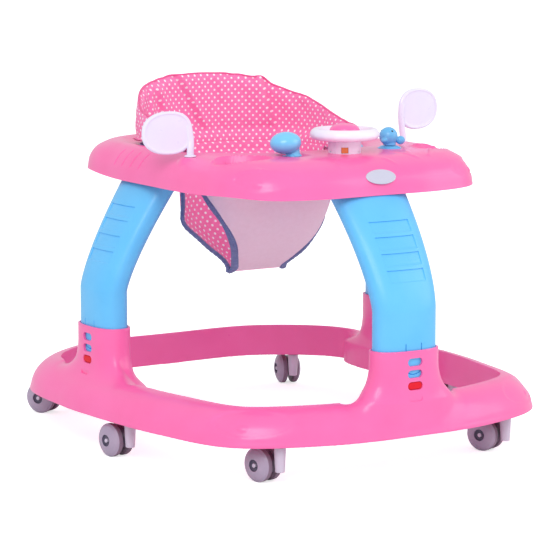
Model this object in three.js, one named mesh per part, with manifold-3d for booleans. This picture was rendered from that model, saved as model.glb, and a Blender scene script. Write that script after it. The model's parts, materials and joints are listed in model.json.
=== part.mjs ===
// Baby walker: a ring base on six twin-wheel casters, three legs that slide in sockets for height,
// a toy tray with a sling seat. Millimetres, +Z up, the front faces -Y, origin on the floor.
import * as THREE from 'three';
import { mergeVertices } from 'three/addons/utils/BufferGeometryUtils.js';
import Module from 'manifold-3d';

const wasm = await Module();
wasm.setup();

// ---- driving sizes -----------------------------------------------------------------------
const fitGap = 0.35;
const wall = 3;
const sectionPower = 2.5;
const legSides = 18;

const opening = { x: 0, y: 75, radius: 150, power: 2.8 };
// How far each part stands outside the seat opening, at the walker's sides.
const beside = { tray: opening.radius + 62, leg: opening.radius + 103 };
beside.caster = opening.radius + 134;
beside.ring = opening.radius + 160;

const ring = { rimZ: 54, height: 49, width: 47, stations: 48, arcSteps: 4 };
const ringHalf = [
  [0, -357], [132, -346], [256, -285], [beside.ring - 13, -150], [beside.ring, -25],
  [beside.ring + 1.5, 105], [beside.ring - 26, 250], [162, 345], [0, 355.8],
];

const leg = { halfWidth: 49, halfDepth: 24, wall: 2.5, bottom: 66, bendZ: 225, trayZ: 371, top: 385 };
const legFlare = { width: 10, depth: 4 };
const legPlaces = {
  front: { x: 0, y: -323, turn: 0, lean: 85, bend: 1.5 },
  left: { x: -beside.leg, y: opening.y, turn: -Math.PI / 2, lean: 75, bend: 1.3 },
  right: { x: beside.leg, y: opening.y, turn: Math.PI / 2, lean: 75, bend: 1.3 },
};

const socket = { clearance: 0.5, wall: 3.5, floorZ: 58, rimZ: 173, flareTopZ: 135 };
const windowCut = { width: 26, height: 12, firstZ: 124, pitch: 16.5, count: 3 };
const tongue = { width: 26, bottom: 85, top: 141, thick: 2.3, slot: 0.6 };
const button = { width: 23, height: 10.5, proud: 2 };

const tray = { bottom: 379, crown: 430, crownInset: 50, edgeZ: 420, flangeZ: 405, stations: 44 };
const trayHalf = [
  [0, -262], [100, -262], [175, -240], [beside.tray - 7, -190], [beside.tray + 2, -90],
  [beside.tray, 10], [beside.tray - 5, 130], [beside.tray - 24, 240], [116, 294],
  [0, opening.y + opening.radius + 83],
];
const traySkirt = [[0, 0], [4, 21], [14, 36], [30, 45.5], [50, 51]];
const snackBowl = { x: 156, y: -163, halfLength: 42, halfWidth: 25, turn: 0.68, depth: 9 };

const wheel = { radius: 24, width: 15, gap: 10, bore: 3.4, segments: 16 };
const axleRadius = 3;
const caster = { trail: 32, postBottom: 17, postTop: 55.6, postRadius: 8.2, pinRadius: 4, pinTop: 82 };
const casterPlaces = {
  front_left: { x: -192, y: -305, trail: [-0.22, 0.98] },
  front_right: { x: 192, y: -305, trail: [-0.38, 0.93] },
  mid_left: { x: -beside.caster, y: -55, trail: [-0.16, 0.99] },
  mid_right: { x: beside.caster, y: -55, trail: [-0.2, 0.98] },
  rear_left: { x: -212, y: 286, trail: [-0.5, 0.86] },
  rear_right: { x: 212, y: 286, trail: [0.27, 0.96] },
};

const hoop = { inner: -7, outer: -2.4, flange: 3, bottom: 404, flangeZ: 423.9, top: 427.5 };
const backrest = { reach: 117, bottom: 412, shoulder: 428.5, rimLow: 450, rimHigh: 520, lean: 2, thick: 8 };
const sling = { bottomZ: 236, thick: 4, waist: 26, frontReach: 66, rearReach: 88 };
sling.topZ = hoop.bottom - fitGap;
sling.topOffset = hoop.inner;
const crotch = { frontY: 49, rearY: 55, frontHalf: 38, rearHalf: 45, bow: 30 };
const bindingRadius = 3.6;

const steering = {
  x: 0, y: -175, columnRadius: 23.5, columnTop: 446, ringRadius: 50, spindle: 4, turn: -0.58,
};
const knob = {
  x: -88, y: -160, pinZ: 413, pinRadius: 1.6, leverHalf: 4, slotHalf: 8.5,
  flangeZ: 432.5, ballRadius: 21.5, ballZ: 451,
};
const animal = { x: 88, y: -160, headRadius: 12.6, spindle: 3 };
const mirror = { x: 185, y: -59, halfWidth: 38.5, halfHeight: 30, thick: 7, stem: 3.8, pin: 3 };
const mirrorTurn = 12.5 * Math.PI / 180;
const badge = { x: 6, halfWidth: 25, halfHeight: 11.6, thick: 1.5, z: 403.5, stand: 1.0 };

const colours = {
  shell: 0xf95fb0, leg: 0x7fd0fb, hoop: 0x6fb8e6, red: 0xe62a4b, white: 0xf4ecf8,
  fabric: 0xf0508c, panel: 0xd8b4c8, navy: 0x56608c, wheel: 0xb0a0b4, dark: 0x565262,
  post: 0xcdbdca, orange: 0xe8803a, toy: 0x5fb8ee, badge: 0xc4c4d6, glass: 0xd8dee8, steel: 0x9a9ca4,
};

// ---- solids ------------------------------------------------------------------------------
function toSolid(geometry) {
  const bare = geometry.clone();
  bare.deleteAttribute('normal');
  bare.deleteAttribute('uv');
  const merged = mergeVertices(bare, 1e-4);
  return new wasm.Manifold(new wasm.Mesh({
    numProp: 3,
    vertProperties: new Float32Array(merged.attributes.position.array),
    triVerts: new Uint32Array(merged.index.array),
  }));
}

function toGeometry(body) {
  const mesh = body.getMesh();
  const geometry = new THREE.BufferGeometry();
  geometry.setAttribute('position', new THREE.BufferAttribute(new Float32Array(mesh.vertProperties), 3));
  geometry.setIndex(new THREE.BufferAttribute(new Uint32Array(mesh.triVerts), 1));
  geometry.computeVertexNormals();
  return geometry;
}

const join = (first, ...rest) => rest.reduce((sum, next) => sum.add(next), first);
const cut = (first, ...rest) => rest.reduce((left, next) => left.subtract(next), first);

// A closed body over rows of points: capped at both ends, or wrapped round when `loop` is set.
function loft(rows, loop = false) {
  const count = rows[0].length;
  const positions = rows.flat().flatMap((p) => [p.x, p.y, p.z]);
  const index = [];
  const spans = loop ? rows.length : rows.length - 1;
  for (let i = 0; i < spans; i += 1) {
    const next = (i + 1) % rows.length;
    for (let j = 0; j < count; j += 1) {
      const side = (j + 1) % count;
      index.push(i * count + j, next * count + j, next * count + side);
      index.push(i * count + j, next * count + side, i * count + side);
    }
  }
  if (!loop) {
    const last = (rows.length - 1) * count;
    for (let j = 1; j < count - 1; j += 1) {
      index.push(0, j, j + 1);
      index.push(last, last + j + 1, last + j);
    }
  }
  return facingOut(positions, index);
}

// Turns every triangle over when the body would enclose a negative volume.
function facingOut(positions, index) {
  const point = (i) => new THREE.Vector3(...positions.slice(3 * i, 3 * i + 3));
  let volume = 0;
  for (let i = 0; i < index.length; i += 3) {
    volume += point(index[i]).dot(point(index[i + 1]).cross(point(index[i + 2])));
  }
  if (volume < 0) {
    index.reverse();
  }
  const geometry = new THREE.BufferGeometry();
  geometry.setAttribute('position', new THREE.Float32BufferAttribute(positions, 3));
  geometry.setIndex(index);
  return geometry;
}

// A sheet of the given thickness over a grid of points, thickened along its own normals.
function sheet(grid, thick) {
  const at = (i, j) => grid[i][j];
  const rows = grid.map((row, i) => {
    const face = [];
    const back = [];
    row.forEach((p, j) => {
      const along = at(Math.min(i + 1, grid.length - 1), j).clone().sub(at(Math.max(i - 1, 0), j));
      const across = at(i, Math.min(j + 1, row.length - 1)).clone().sub(at(i, Math.max(j - 1, 0)));
      const normal = across.cross(along).normalize();
      face.push(p);
      back.unshift(p.clone().addScaledVector(normal, thick));
    });
    return [...face, ...back];
  });
  return loftStrip(rows);
}

// Like loft, with end caps that follow a long thin section.
function loftStrip(rows) {
  const count = rows[0].length;
  const half = count / 2;
  const positions = rows.flat().flatMap((p) => [p.x, p.y, p.z]);
  const index = [];
  for (let i = 0; i < rows.length - 1; i += 1) {
    for (let j = 0; j < count; j += 1) {
      const side = (j + 1) % count;
      index.push(i * count + j, (i + 1) * count + j, (i + 1) * count + side);
      index.push(i * count + j, (i + 1) * count + side, i * count + side);
    }
  }
  const last = (rows.length - 1) * count;
  for (let j = 0; j < half - 1; j += 1) {
    const far = count - 1 - j;
    index.push(j, j + 1, far - 1, j, far - 1, far);
    index.push(last + j, last + far - 1, last + j + 1, last + j, last + far, last + far - 1);
  }
  return facingOut(positions, index);
}

function tube(path, radius, steps, sides, loop) {
  const frames = path.computeFrenetFrames(steps, loop);
  const rows = [];
  for (let i = 0; i < (loop ? steps : steps + 1); i += 1) {
    const centre = path.getPointAt(i / steps);
    const row = [];
    for (let j = 0; j < sides; j += 1) {
      const a = 2 * Math.PI * j / sides;
      row.push(centre.clone()
        .addScaledVector(frames.normals[i], radius * Math.cos(a))
        .addScaledVector(frames.binormals[i], radius * Math.sin(a)));
    }
    rows.push(row);
  }
  return loft(rows, loop);
}

function cylinder(radius, from, to, sides = 20, topRadius = radius) {
  return new THREE.CylinderGeometry(topRadius, radius, to - from, sides)
    .rotateX(Math.PI / 2)
    .translate(0, 0, (from + to) / 2);
}

function block(x0, x1, y0, y1, z0, z1) {
  return new THREE.BoxGeometry(x1 - x0, y1 - y0, z1 - z0)
    .translate((x0 + x1) / 2, (y0 + y1) / 2, (z0 + z1) / 2);
}

// A turned body about +Z from its closed half section of [radius, z] points.
function turned(section, sides) {
  const profile = section.map(([r, z]) => new THREE.Vector2(r, z));
  if (section[0][0] > 0) {
    profile.push(profile[0].clone());
  }
  const spun = new THREE.LatheGeometry(profile, sides).rotateX(Math.PI / 2);
  spun.deleteAttribute('normal');
  spun.deleteAttribute('uv');
  const merged = mergeVertices(spun, 1e-4);
  return facingOut(Array.from(merged.attributes.position.array), solidFaces(merged));
}

// The triangles of an indexed geometry that have three different corners.
function solidFaces(geometry) {
  const index = Array.from(geometry.index.array);
  const kept = [];
  for (let i = 0; i < index.length; i += 3) {
    const [a, b, c] = index.slice(i, i + 3);
    if (a !== b && b !== c && c !== a) {
      kept.push(a, b, c);
    }
  }
  return kept;
}

function superellipse(halfX, halfY, power, sides, place) {
  const row = [];
  for (let j = 0; j < sides; j += 1) {
    const a = 2 * Math.PI * j / sides;
    const bow = (v) => Math.sign(v) * Math.abs(v) ** (2 / power);
    row.push(place(halfX * bow(Math.cos(a)), halfY * bow(Math.sin(a))));
  }
  return row;
}

function ellipseDisc(halfX, halfY, from, to, sides) {
  return cylinder(1, from, to, sides).scale(halfX, halfY, 1);
}

// Points round a closed outline given by its right-hand half, front centre to rear centre.
function outlineStations(half, count) {
  const mirrored = half.slice(1, -1).reverse().map(([x, y]) => [-x, y]);
  const points = [...half, ...mirrored].map(([x, y]) => new THREE.Vector3(x, y, 0));
  const curve = new THREE.CatmullRomCurve3(points, true, 'centripetal');
  const stations = [];
  for (let i = 0; i < count; i += 1) {
    const tangent = curve.getTangent(i / count);
    stations.push({ at: curve.getPoint(i / count), inward: new THREE.Vector3(-tangent.y, tangent.x, 0) });
  }
  return stations;
}

// ---- base ring ---------------------------------------------------------------------------
function ringArc(inset) {
  const arc = [];
  for (let k = 0; k <= ring.arcSteps; k += 1) {
    const a = (Math.PI / 2) * k / ring.arcSteps;
    const reach = ring.width - 2 * inset;
    arc.push([inset + reach * (1 - Math.cos(a)), ring.rimZ + (ring.height - inset) * Math.sin(a)]);
  }
  return arc;
}

function ringSweep(section) {
  return loft(outlineStations(ringHalf, ring.stations).map(({ at, inward }) => (
    section.map(([offset, z]) => at.clone().addScaledVector(inward, offset).setZ(z))
  )), true);
}

function ringShell() {
  const feet = [[ring.width, ring.rimZ], [ring.width - wall, ring.rimZ]];
  return toSolid(ringSweep([...ringArc(0), ...feet, ...ringArc(wall).reverse()]));
}

function ringSolid() {
  return toSolid(ringSweep([...ringArc(0), [ring.width, ring.rimZ]]));
}

function ringHollow() {
  return toSolid(ringSweep([...ringArc(wall), [ring.width - wall, 0], [wall, 0]]));
}

// ---- legs and their sockets: local x along the ring, local y towards the walker's middle ----
function placed(geometry, { x, y, turn }) {
  return geometry.clone().rotateZ(turn).translate(x, y, 0);
}

function straightSection(grow, z) {
  return superellipse(leg.halfWidth + grow, leg.halfDepth + grow, sectionPower, legSides,
    (x, y) => new THREE.Vector3(x, y, z));
}

function socketTube() {
  const grow = socket.clearance + socket.wall;
  return loft([straightSection(grow, socket.floorZ), straightSection(grow, socket.rimZ)]);
}

function socketCavity() {
  const floor = socket.floorZ + wall;
  return loft([
    straightSection(socket.clearance, floor),
    straightSection(socket.clearance, socket.rimZ + 1),
  ]);
}

function socketFlare() {
  const spread = [[socket.flareTopZ, 0], [116, 7], [103, 22], [92, 29], [ring.rimZ + 1, 29]];
  const grow = socket.clearance + socket.wall;
  return loft(spread.map(([z, along]) => superellipse(
    leg.halfWidth + grow + along,
    leg.halfDepth + grow + along * 0.12,
    sectionPower, legSides, (x, y) => new THREE.Vector3(x, y, z),
  )));
}

function oval(width, height, y0, y1, z) {
  return ellipseDisc(width / 2, height / 2, y0, y1, 12).rotateX(-Math.PI / 2).translate(0, 0, z);
}

function socketWindows() {
  const face = -(leg.halfDepth + socket.clearance + socket.wall);
  const cuts = [];
  for (let k = 0; k < windowCut.count; k += 1) {
    const z = windowCut.firstZ + k * windowCut.pitch;
    cuts.push(oval(windowCut.width, windowCut.height, face - 1, face + socket.wall + 1, z));
  }
  return cuts;
}

function buttonChannel() {
  const depth = leg.halfDepth + button.proud + 2 * fitGap;
  const half = button.width / 2 + 1;
  const bottom = windowCut.firstZ - button.height / 2 - 1;
  const top = windowCut.firstZ + (windowCut.count - 1) * windowCut.pitch + button.height / 2 + 1;
  return block(-half, half, -depth, 0, bottom, top);
}

function legCentre(z, place) {
  const rise = Math.max(0, z - leg.bendZ) / (leg.trayZ - leg.bendZ);
  return place.lean * rise ** place.bend;
}

function legLoft(place, heights, shrink) {
  return loft(heights.map((z) => {
    const rise = Math.max(0, z - leg.bendZ) / (leg.trayZ - leg.bendZ);
    const halfX = leg.halfWidth + legFlare.width * rise - shrink;
    const halfY = leg.halfDepth + legFlare.depth * rise - shrink;
    return superellipse(halfX, halfY, sectionPower, legSides,
      (x, y) => new THREE.Vector3(x, y + legCentre(z, place), z));
  }));
}

function tongueHole() {
  const half = tongue.width / 2 + tongue.slot;
  return block(-half, half, -leg.halfDepth - 1, -leg.halfDepth + 6, tongue.bottom, tongue.top);
}

function legBody(place) {
  const heights = [leg.bendZ, 245, 268, 295, 325, 356];
  const outer = legLoft(place, [leg.bottom, ...heights, leg.top], 0);
  const inner = legLoft(place, [leg.bottom - 1, ...heights, leg.top - wall], leg.wall);
  const screwHole = cylinder(2.8, leg.top - 10, leg.top + 10, 12)
    .translate(0, legCentre(leg.top, place), 0);
  const body = cut(toSolid(outer), toSolid(inner), toSolid(tongueHole()), toSolid(screwHole));
  return placed(toGeometry(body), place);
}

function latchTongue(place) {
  const face = -leg.halfDepth + 0.4;
  const strip = block(-tongue.width / 2, tongue.width / 2, face, face + tongue.thick,
    tongue.bottom + fitGap, tongue.top - tongue.slot);
  return placed(strip, place);
}

function latchButton(place) {
  const back = -leg.halfDepth + 0.4 - fitGap;
  const front = -leg.halfDepth - button.proud;
  return placed(oval(button.width, button.height, front, back, windowCut.firstZ), place);
}

function legScrew(place) {
  const head = cylinder(5, leg.top - wall - fitGap - 3.2, leg.top - wall - fitGap, 12);
  const shank = cylinder(2.4, leg.top - wall - 2, leg.top + 12, 12);
  const screw = join(toSolid(head), toSolid(shank));
  return placed(toGeometry(screw).translate(0, legCentre(leg.top, place), 0), place);
}

// ---- base as one moulding ----------------------------------------------------------------
function baseRing() {
  const hollow = ringHollow();
  const within = ringSolid();
  let body = ringShell();
  for (const place of Object.values(legPlaces)) {
    const flare = cut(toSolid(placed(socketFlare(), place)), hollow);
    body = join(body, flare, toSolid(placed(socketTube(), place)));
  }
  for (const { x, y } of Object.values(casterPlaces)) {
    const boss = toSolid(cylinder(10, ring.rimZ + 4, ring.rimZ + ring.height, 10).translate(x, y, 0));
    body = join(body, boss.intersect(within));
  }
  for (const place of Object.values(legPlaces)) {
    const cuts = [socketCavity(), buttonChannel(), ...socketWindows()];
    body = cut(body, ...cuts.map((shape) => toSolid(placed(shape, place))));
  }
  for (const { x, y } of Object.values(casterPlaces)) {
    const bore = cylinder(caster.pinRadius + 0.4, 0, caster.pinTop + 1, 12).translate(x, y, 0);
    body = cut(body, toSolid(bore));
  }
  return toGeometry(body);
}

// ---- casters -----------------------------------------------------------------------------
function casterPlaced(geometry, { x, y, trail }) {
  return geometry.clone().rotateZ(Math.atan2(-trail[0], trail[1])).translate(x, y, 0);
}

function casterBody(place) {
  const post = cylinder(caster.postRadius - 1.4, caster.postBottom, caster.postTop, 12, caster.postRadius);
  const collar = cylinder(caster.postRadius + 1.3, caster.postTop - 3, caster.postTop, 12);
  const pin = cylinder(caster.pinRadius, caster.postTop - 1, caster.pinTop, 12);
  const arm = block(-4, 4, 0, caster.trail + 6, wheel.radius - 6, wheel.radius + 6);
  const bore = cylinder(axleRadius + 0.4, -8, 8, 12).rotateY(Math.PI / 2)
    .translate(0, caster.trail, wheel.radius);
  const body = cut(join(toSolid(post), toSolid(collar), toSolid(pin), toSolid(arm)), toSolid(bore));
  return casterPlaced(toGeometry(body), place);
}

function wheelBody(place, side) {
  const inner = wheel.gap / 2;
  const outer = inner + wheel.width;
  const section = [
    [wheel.bore, inner], [wheel.radius - 1.5, inner], [wheel.radius, inner + 2],
    [wheel.radius, inner + 7.5], [wheel.radius * 0.6, outer - 2], [wheel.bore, outer],
  ];
  const spun = turned(section, wheel.segments).rotateY(side * Math.PI / 2);
  return casterPlaced(spun.translate(0, caster.trail, wheel.radius), place);
}

function axleBody(place) {
  const half = wheel.gap / 2 + wheel.width - 0.6;
  const rod = cylinder(axleRadius, -half, half, 12).rotateY(Math.PI / 2);
  return casterPlaced(rod.translate(0, caster.trail, wheel.radius), place);
}

// ---- tray --------------------------------------------------------------------------------
function openingRadius(angle, offset) {
  const { radius, power } = opening;
  const c = Math.abs(Math.cos(angle)) ** power;
  const s = Math.abs(Math.sin(angle)) ** power;
  return radius / (c + s) ** (1 / power) + offset;
}

// A point by its angle about the opening's centre and its distance outside the opening's edge.
function openingPoint(angle, offset, z) {
  const r = openingRadius(angle, offset);
  return new THREE.Vector3(opening.x + r * Math.cos(angle), opening.y + r * Math.sin(angle), z);
}

function traySection(at, inset) {
  const dx = at.x - opening.x;
  const dy = at.y - opening.y;
  const angle = Math.atan2(dy, dx);
  const rim = Math.hypot(dx, dy) - openingRadius(angle, 0);
  const squeeze = Math.min(1, 0.55 * rim / tray.crownInset);
  const skirt = traySkirt.map(([d, rise]) => {
    const down = rise > 0 ? inset * Math.min(1, d / 14) : 0;
    return openingPoint(angle, rim - inset * (d < 20 ? 1 : 0) - d * squeeze, tray.bottom + rise - down);
  });
  const lip = [[22, tray.crown], [8, tray.crown - 2.5], [0, tray.edgeZ], [0, tray.flangeZ]];
  const edge = lip.map(([d, z], k) => (
    openingPoint(angle, d + (d < 20 ? inset : 0), z - (k < 3 ? inset * (k < 2 ? 1 : 0.4) : 0))
  ));
  return [...skirt, ...edge];
}

function trayShell() {
  const rows = outlineStations(trayHalf, tray.stations).map(({ at }) => (
    [...traySection(at, 0), ...traySection(at, wall).reverse()]
  ));
  return toSolid(loft(rows, true));
}

function bowlPlaced(geometry, side) {
  return geometry.rotateZ(side * snackBowl.turn).translate(side * snackBowl.x, snackBowl.y, 0);
}

function trayBody() {
  const floor = tray.crown - snackBowl.depth;
  let body = trayShell();
  for (const side of [-1, 1]) {
    const { halfLength, halfWidth } = snackBowl;
    const bowl = ellipseDisc(halfLength + wall, halfWidth + wall, floor - wall, tray.crown - 3, 24);
    body = join(body, toSolid(bowlPlaced(bowl, side)));
  }
  for (const place of Object.values(legPlaces)) {
    const boss = cylinder(10, leg.top + fitGap, tray.crown - 5, 10);
    body = join(body, toSolid(placed(boss.translate(0, legCentre(leg.top, place), 0), place)));
  }
  for (const place of Object.values(legPlaces)) {
    const bore = cylinder(2.8, leg.top - 1, leg.top + 14, 12).translate(0, legCentre(leg.top, place), 0);
    body = cut(body, toSolid(placed(bore, place)));
  }
  for (const side of [-1, 1]) {
    const bowl = ellipseDisc(snackBowl.halfLength, snackBowl.halfWidth, floor, tray.crown + 9, 24);
    body = cut(body, toSolid(bowlPlaced(bowl, side)));
    const pinHole = cylinder(mirror.pin + 0.4, tray.crown - 20, tray.crown + 10, 12);
    body = cut(body, toSolid(pinHole.translate(side * mirror.x, mirror.y, 0)));
  }
  const slotY = knob.leverHalf + 2 * fitGap;
  const slot = block(-knob.slotHalf, knob.slotHalf, -slotY, slotY, tray.crown - 20, tray.crown + 10);
  body = cut(body, toSolid(atToy(slot, knob)));
  for (const [toy, radius] of [[steering, steering.spindle], [animal, animal.spindle]]) {
    const bore = cylinder(radius + 0.5, tray.crown - 20, tray.crown + 10, 14);
    body = cut(body, toSolid(bore.translate(toy.x, toy.y, 0)));
  }
  return toGeometry(body);
}

function badgePlate() {
  const slope = Math.atan2(10, 15);
  const plate = ellipseDisc(badge.halfWidth, badge.halfHeight, 0, badge.thick, 24);
  const y = trayHalf[0][1] + 4 + (badge.z - 400) * Math.tan(slope);
  return plate.rotateX(Math.PI / 2 - slope)
    .translate(badge.x, y - badge.stand * Math.cos(slope), badge.z + badge.stand * Math.sin(slope));
}

// ---- seat --------------------------------------------------------------------------------
function seatHoop() {
  const { inner, outer, flange, bottom, flangeZ, top } = hoop;
  const section = [
    [inner, bottom], [outer, bottom], [outer, flangeZ], [flange, flangeZ], [flange, top], [inner, top],
  ];
  const rows = [];
  for (let i = 0; i < 40; i += 1) {
    rows.push(section.map(([offset, z]) => openingPoint(2 * Math.PI * i / 40, offset, z)));
  }
  return loft(rows, true);
}

const degrees = (value) => value * Math.PI / 180;

function backrestBody() {
  const rows = [];
  for (let i = 0; i <= 22; i += 1) {
    const swing = backrest.reach * (i / 11 - 1);
    const angle = Math.PI / 2 - degrees(swing);
    const fade = (1 - (swing / (backrest.reach + 0.5)) ** 2) ** 2;
    const rim = backrest.rimLow + (backrest.rimHigh - backrest.rimLow) * fade;
    const inside = hoop.inner - 3 * fitGap - backrest.thick;
    const levels = [
      [inside, backrest.bottom], [inside, backrest.shoulder],
      [-1, backrest.shoulder + 6], [backrest.lean, rim],
    ];
    const face = levels.map(([offset, z]) => openingPoint(angle, offset, z));
    const back = levels.map(([offset, z]) => openingPoint(angle, offset + backrest.thick, z)).reverse();
    rows.push([...face, ...back]);
  }
  return loftStrip(rows);
}

const smooth = (from, to, value) => THREE.MathUtils.smoothstep(value, from, to);

// The seat narrows below the hoop, then runs in to the strip between the leg holes.
function seatOffset(drop) {
  return sling.topOffset - sling.waist * smooth(0, 0.25, drop);
}

function panelPoint(s, v) {
  const top = openingPoint(degrees(-90 + s * sling.frontReach), seatOffset(v), sling.topZ);
  const foot = new THREE.Vector3(s * crotch.frontHalf, crotch.frontY, sling.bottomZ + 2);
  const flat = openingPoint(degrees(-90), seatOffset(v), sling.topZ).y + crotch.bow * s * s;
  top.y = THREE.MathUtils.lerp(top.y, flat, smooth(0, 0.6, v));
  const { lerp } = THREE.MathUtils;
  return new THREE.Vector3(lerp(top.x, foot.x, v), lerp(top.y, foot.y, v ** 3), lerp(top.z, foot.z, v));
}

function frontPanel() {
  const grid = [];
  for (let i = 0; i <= 4; i += 1) {
    const v = i / 4;
    const row = [];
    for (let j = 0; j <= 10; j += 1) {
      const s = j / 5 - 1;
      row.push(panelPoint(s, v));
    }
    grid.push(row);
  }
  return sheet(grid, -sling.thick);
}

function slingPoint(s, v) {
  const drop = Math.sin(v * Math.PI / 2);
  const top = openingPoint(degrees(90 - s * sling.rearReach), seatOffset(drop), sling.topZ);
  const foot = new THREE.Vector3(s * crotch.rearHalf, crotch.rearY, sling.bottomZ);
  const middle = 1 - Math.cos(v * Math.PI / 2);
  const inwards = THREE.MathUtils.lerp(middle, smooth(0.3, 1, drop), s * s);
  return top.clone().lerp(foot, inwards).setZ(top.z + (foot.z - top.z) * drop);
}

function rearSling() {
  const grid = [];
  for (let i = 0; i <= 7; i += 1) {
    const row = [];
    for (let j = 0; j <= 12; j += 1) {
      row.push(slingPoint(j / 6 - 1, i / 7));
    }
    grid.push(row);
  }
  return sheet(grid, sling.thick);
}

// The bound edge of a leg hole: down the front panel's side, under, and up the sling's side.
function legBinding(side) {
  const clear = bindingRadius + sling.thick + 1.5;
  const points = [];
  for (const v of [0.12, 0.35, 0.65, 0.93]) {
    points.push(panelPoint(1, v).add(new THREE.Vector3(0, clear + fitGap, 0)));
  }
  for (const v of [0.8, 0.55, 0.3, 0.1]) {
    points.push(slingPoint(1, v).add(new THREE.Vector3(2, bindingRadius - clear - 1.2, -1)));
  }
  const path = new THREE.CatmullRomCurve3(points, true, 'centripetal');
  const loop = tube(path, bindingRadius, 26, 6, true);
  const merged = Array.from(loop.attributes.position.array);
  for (let i = 0; i < merged.length; i += 3) {
    merged[i] *= side;
  }
  return facingOut(merged, Array.from(loop.index.array));
}

// ---- toys --------------------------------------------------------------------------------
function atToy(geometry, toy) {
  return geometry.translate(toy.x, toy.y, 0);
}

function steeringColumn() {
  const base = tray.crown + fitGap;
  const { columnRadius, columnTop, spindle } = steering;
  const shell = turned([
    [spindle + 0.5, base], [columnRadius, base], [columnRadius, columnTop], [spindle + 0.5, columnTop],
  ], 28);
  const pocket = block(-5, 5, -columnRadius - 2, -columnRadius + 4, base + 2, base + 10);
  return atToy(toGeometry(cut(toSolid(shell), toSolid(pocket))).rotateZ(steering.turn), steering);
}

function steeringInsert() {
  const base = tray.crown + fitGap;
  const front = -steering.columnRadius;
  const window = block(-4.5, 4.5, front + 0.8, front + 3.6, base + 2.5, base + 9.5);
  return atToy(window.rotateZ(steering.turn), steering);
}

function steeringRing() {
  const low = steering.columnTop + fitGap;
  const r = steering.ringRadius;
  const section = [
    [steering.spindle + fitGap, low], [r - 18, low + 1], [r - 3, low + 2], [r, low + 9],
    [r - 6, low + 18], [r - 12, low + 16], [r - 15, low + 5], [steering.spindle + fitGap, low + 5],
  ];
  return atToy(turned(section, 28), steering);
}

function steeringCap() {
  const low = steering.columnTop + 5 + 2 * fitGap;
  const section = [[0, low], [21, low], [21.5, low + 9], [18, low + 15], [10, low + 19], [0, low + 20.5]];
  return atToy(turned(section, 24), steering);
}

function headedPin(radius, headRadius, headZ, top) {
  return turned([
    [0, headZ], [headRadius, headZ], [headRadius, headZ + 3], [radius, headZ + 3], [radius, top], [0, top],
  ], 14);
}

function steeringSpindle() {
  const pin = headedPin(steering.spindle, 8, steering.columnTop - 25, steering.columnTop + 4.8);
  return atToy(pin, steering);
}

// The lever rocks from side to side on a pin in a fork that hangs under the tray.
function knobFork() {
  const top = tray.crown - wall - fitGap;
  const plate = block(-12, 12, -12, 12, top - 3, top);
  const ears = [-1, 1].map((side) => {
    const middle = side * (knob.leverHalf + fitGap + 2);
    return toSolid(block(-6, 6, middle - 2, middle + 2, knob.pinZ - 5, top - 1));
  });
  const slotY = knob.leverHalf + 2 * fitGap;
  const slot = block(-knob.slotHalf, knob.slotHalf, -slotY, slotY, top - 6, top + 1);
  const fork = cut(join(toSolid(plate), ...ears), toSolid(slot), toSolid(knobBore()));
  return atToy(toGeometry(fork), knob);
}

function knobBore(radius = knob.pinRadius + 0.4, half = 30) {
  return cylinder(radius, -half, half, 12).rotateX(Math.PI / 2).translate(0, 0, knob.pinZ);
}

function knobLever() {
  const { leverHalf, flangeZ } = knob;
  const lever = block(-leverHalf, leverHalf, -leverHalf, leverHalf, knob.pinZ - 4, flangeZ + 1);
  const flange = cylinder(11, flangeZ, flangeZ + 5, 18, 8);
  const stem = cylinder(8, flangeZ + 4, knob.ballZ, 16, 7);
  const ball = new THREE.SphereGeometry(knob.ballRadius, 16, 10).scale(1, 0.9, 0.74).rotateY(-0.25);
  const head = toSolid(ball.translate(-8, -3, knob.ballZ));
  const whole = join(toSolid(lever), toSolid(flange), toSolid(stem), head);
  return atToy(toGeometry(cut(whole, toSolid(knobBore()))), knob);
}

function knobPin() {
  return atToy(knobBore(knob.pinRadius, knob.leverHalf + 4), knob);
}

function animalBase() {
  const base = tray.crown + fitGap;
  const bore = animal.spindle + 0.5;
  const section = [[bore, base], [16, base], [15.5, base + 2.5], [12, base + 5], [bore, base + 5]];
  return atToy(turned(section, 24), animal);
}

function animalBody() {
  const low = tray.crown + 5.7 + fitGap;
  const neck = cylinder(9, low, low + 8, 18);
  const head = new THREE.SphereGeometry(animal.headRadius, 14, 9).translate(0, 0, low + 12);
  const snout = new THREE.SphereGeometry(6, 10, 6).translate(13, -4, low + 6);
  const bill = new THREE.SphereGeometry(1, 8, 6).scale(7, 5, 4).translate(-11, -4, low + 9);
  const bore = cylinder(animal.spindle + fitGap, low - 10, low + 6, 14);
  const body = cut(join(toSolid(neck), toSolid(head), toSolid(snout), toSolid(bill)), toSolid(bore));
  return atToy(toGeometry(body), animal);
}

// ---- mirrors -----------------------------------------------------------------------------
function mirrorPlaced(geometry, side) {
  return geometry.rotateZ(side * mirrorTurn).translate(side * mirror.x, mirror.y, 0);
}

function mirrorDisc(rise, side) {
  return { x: side * 29.5, y: 11, z: 424 + rise };
}

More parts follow.
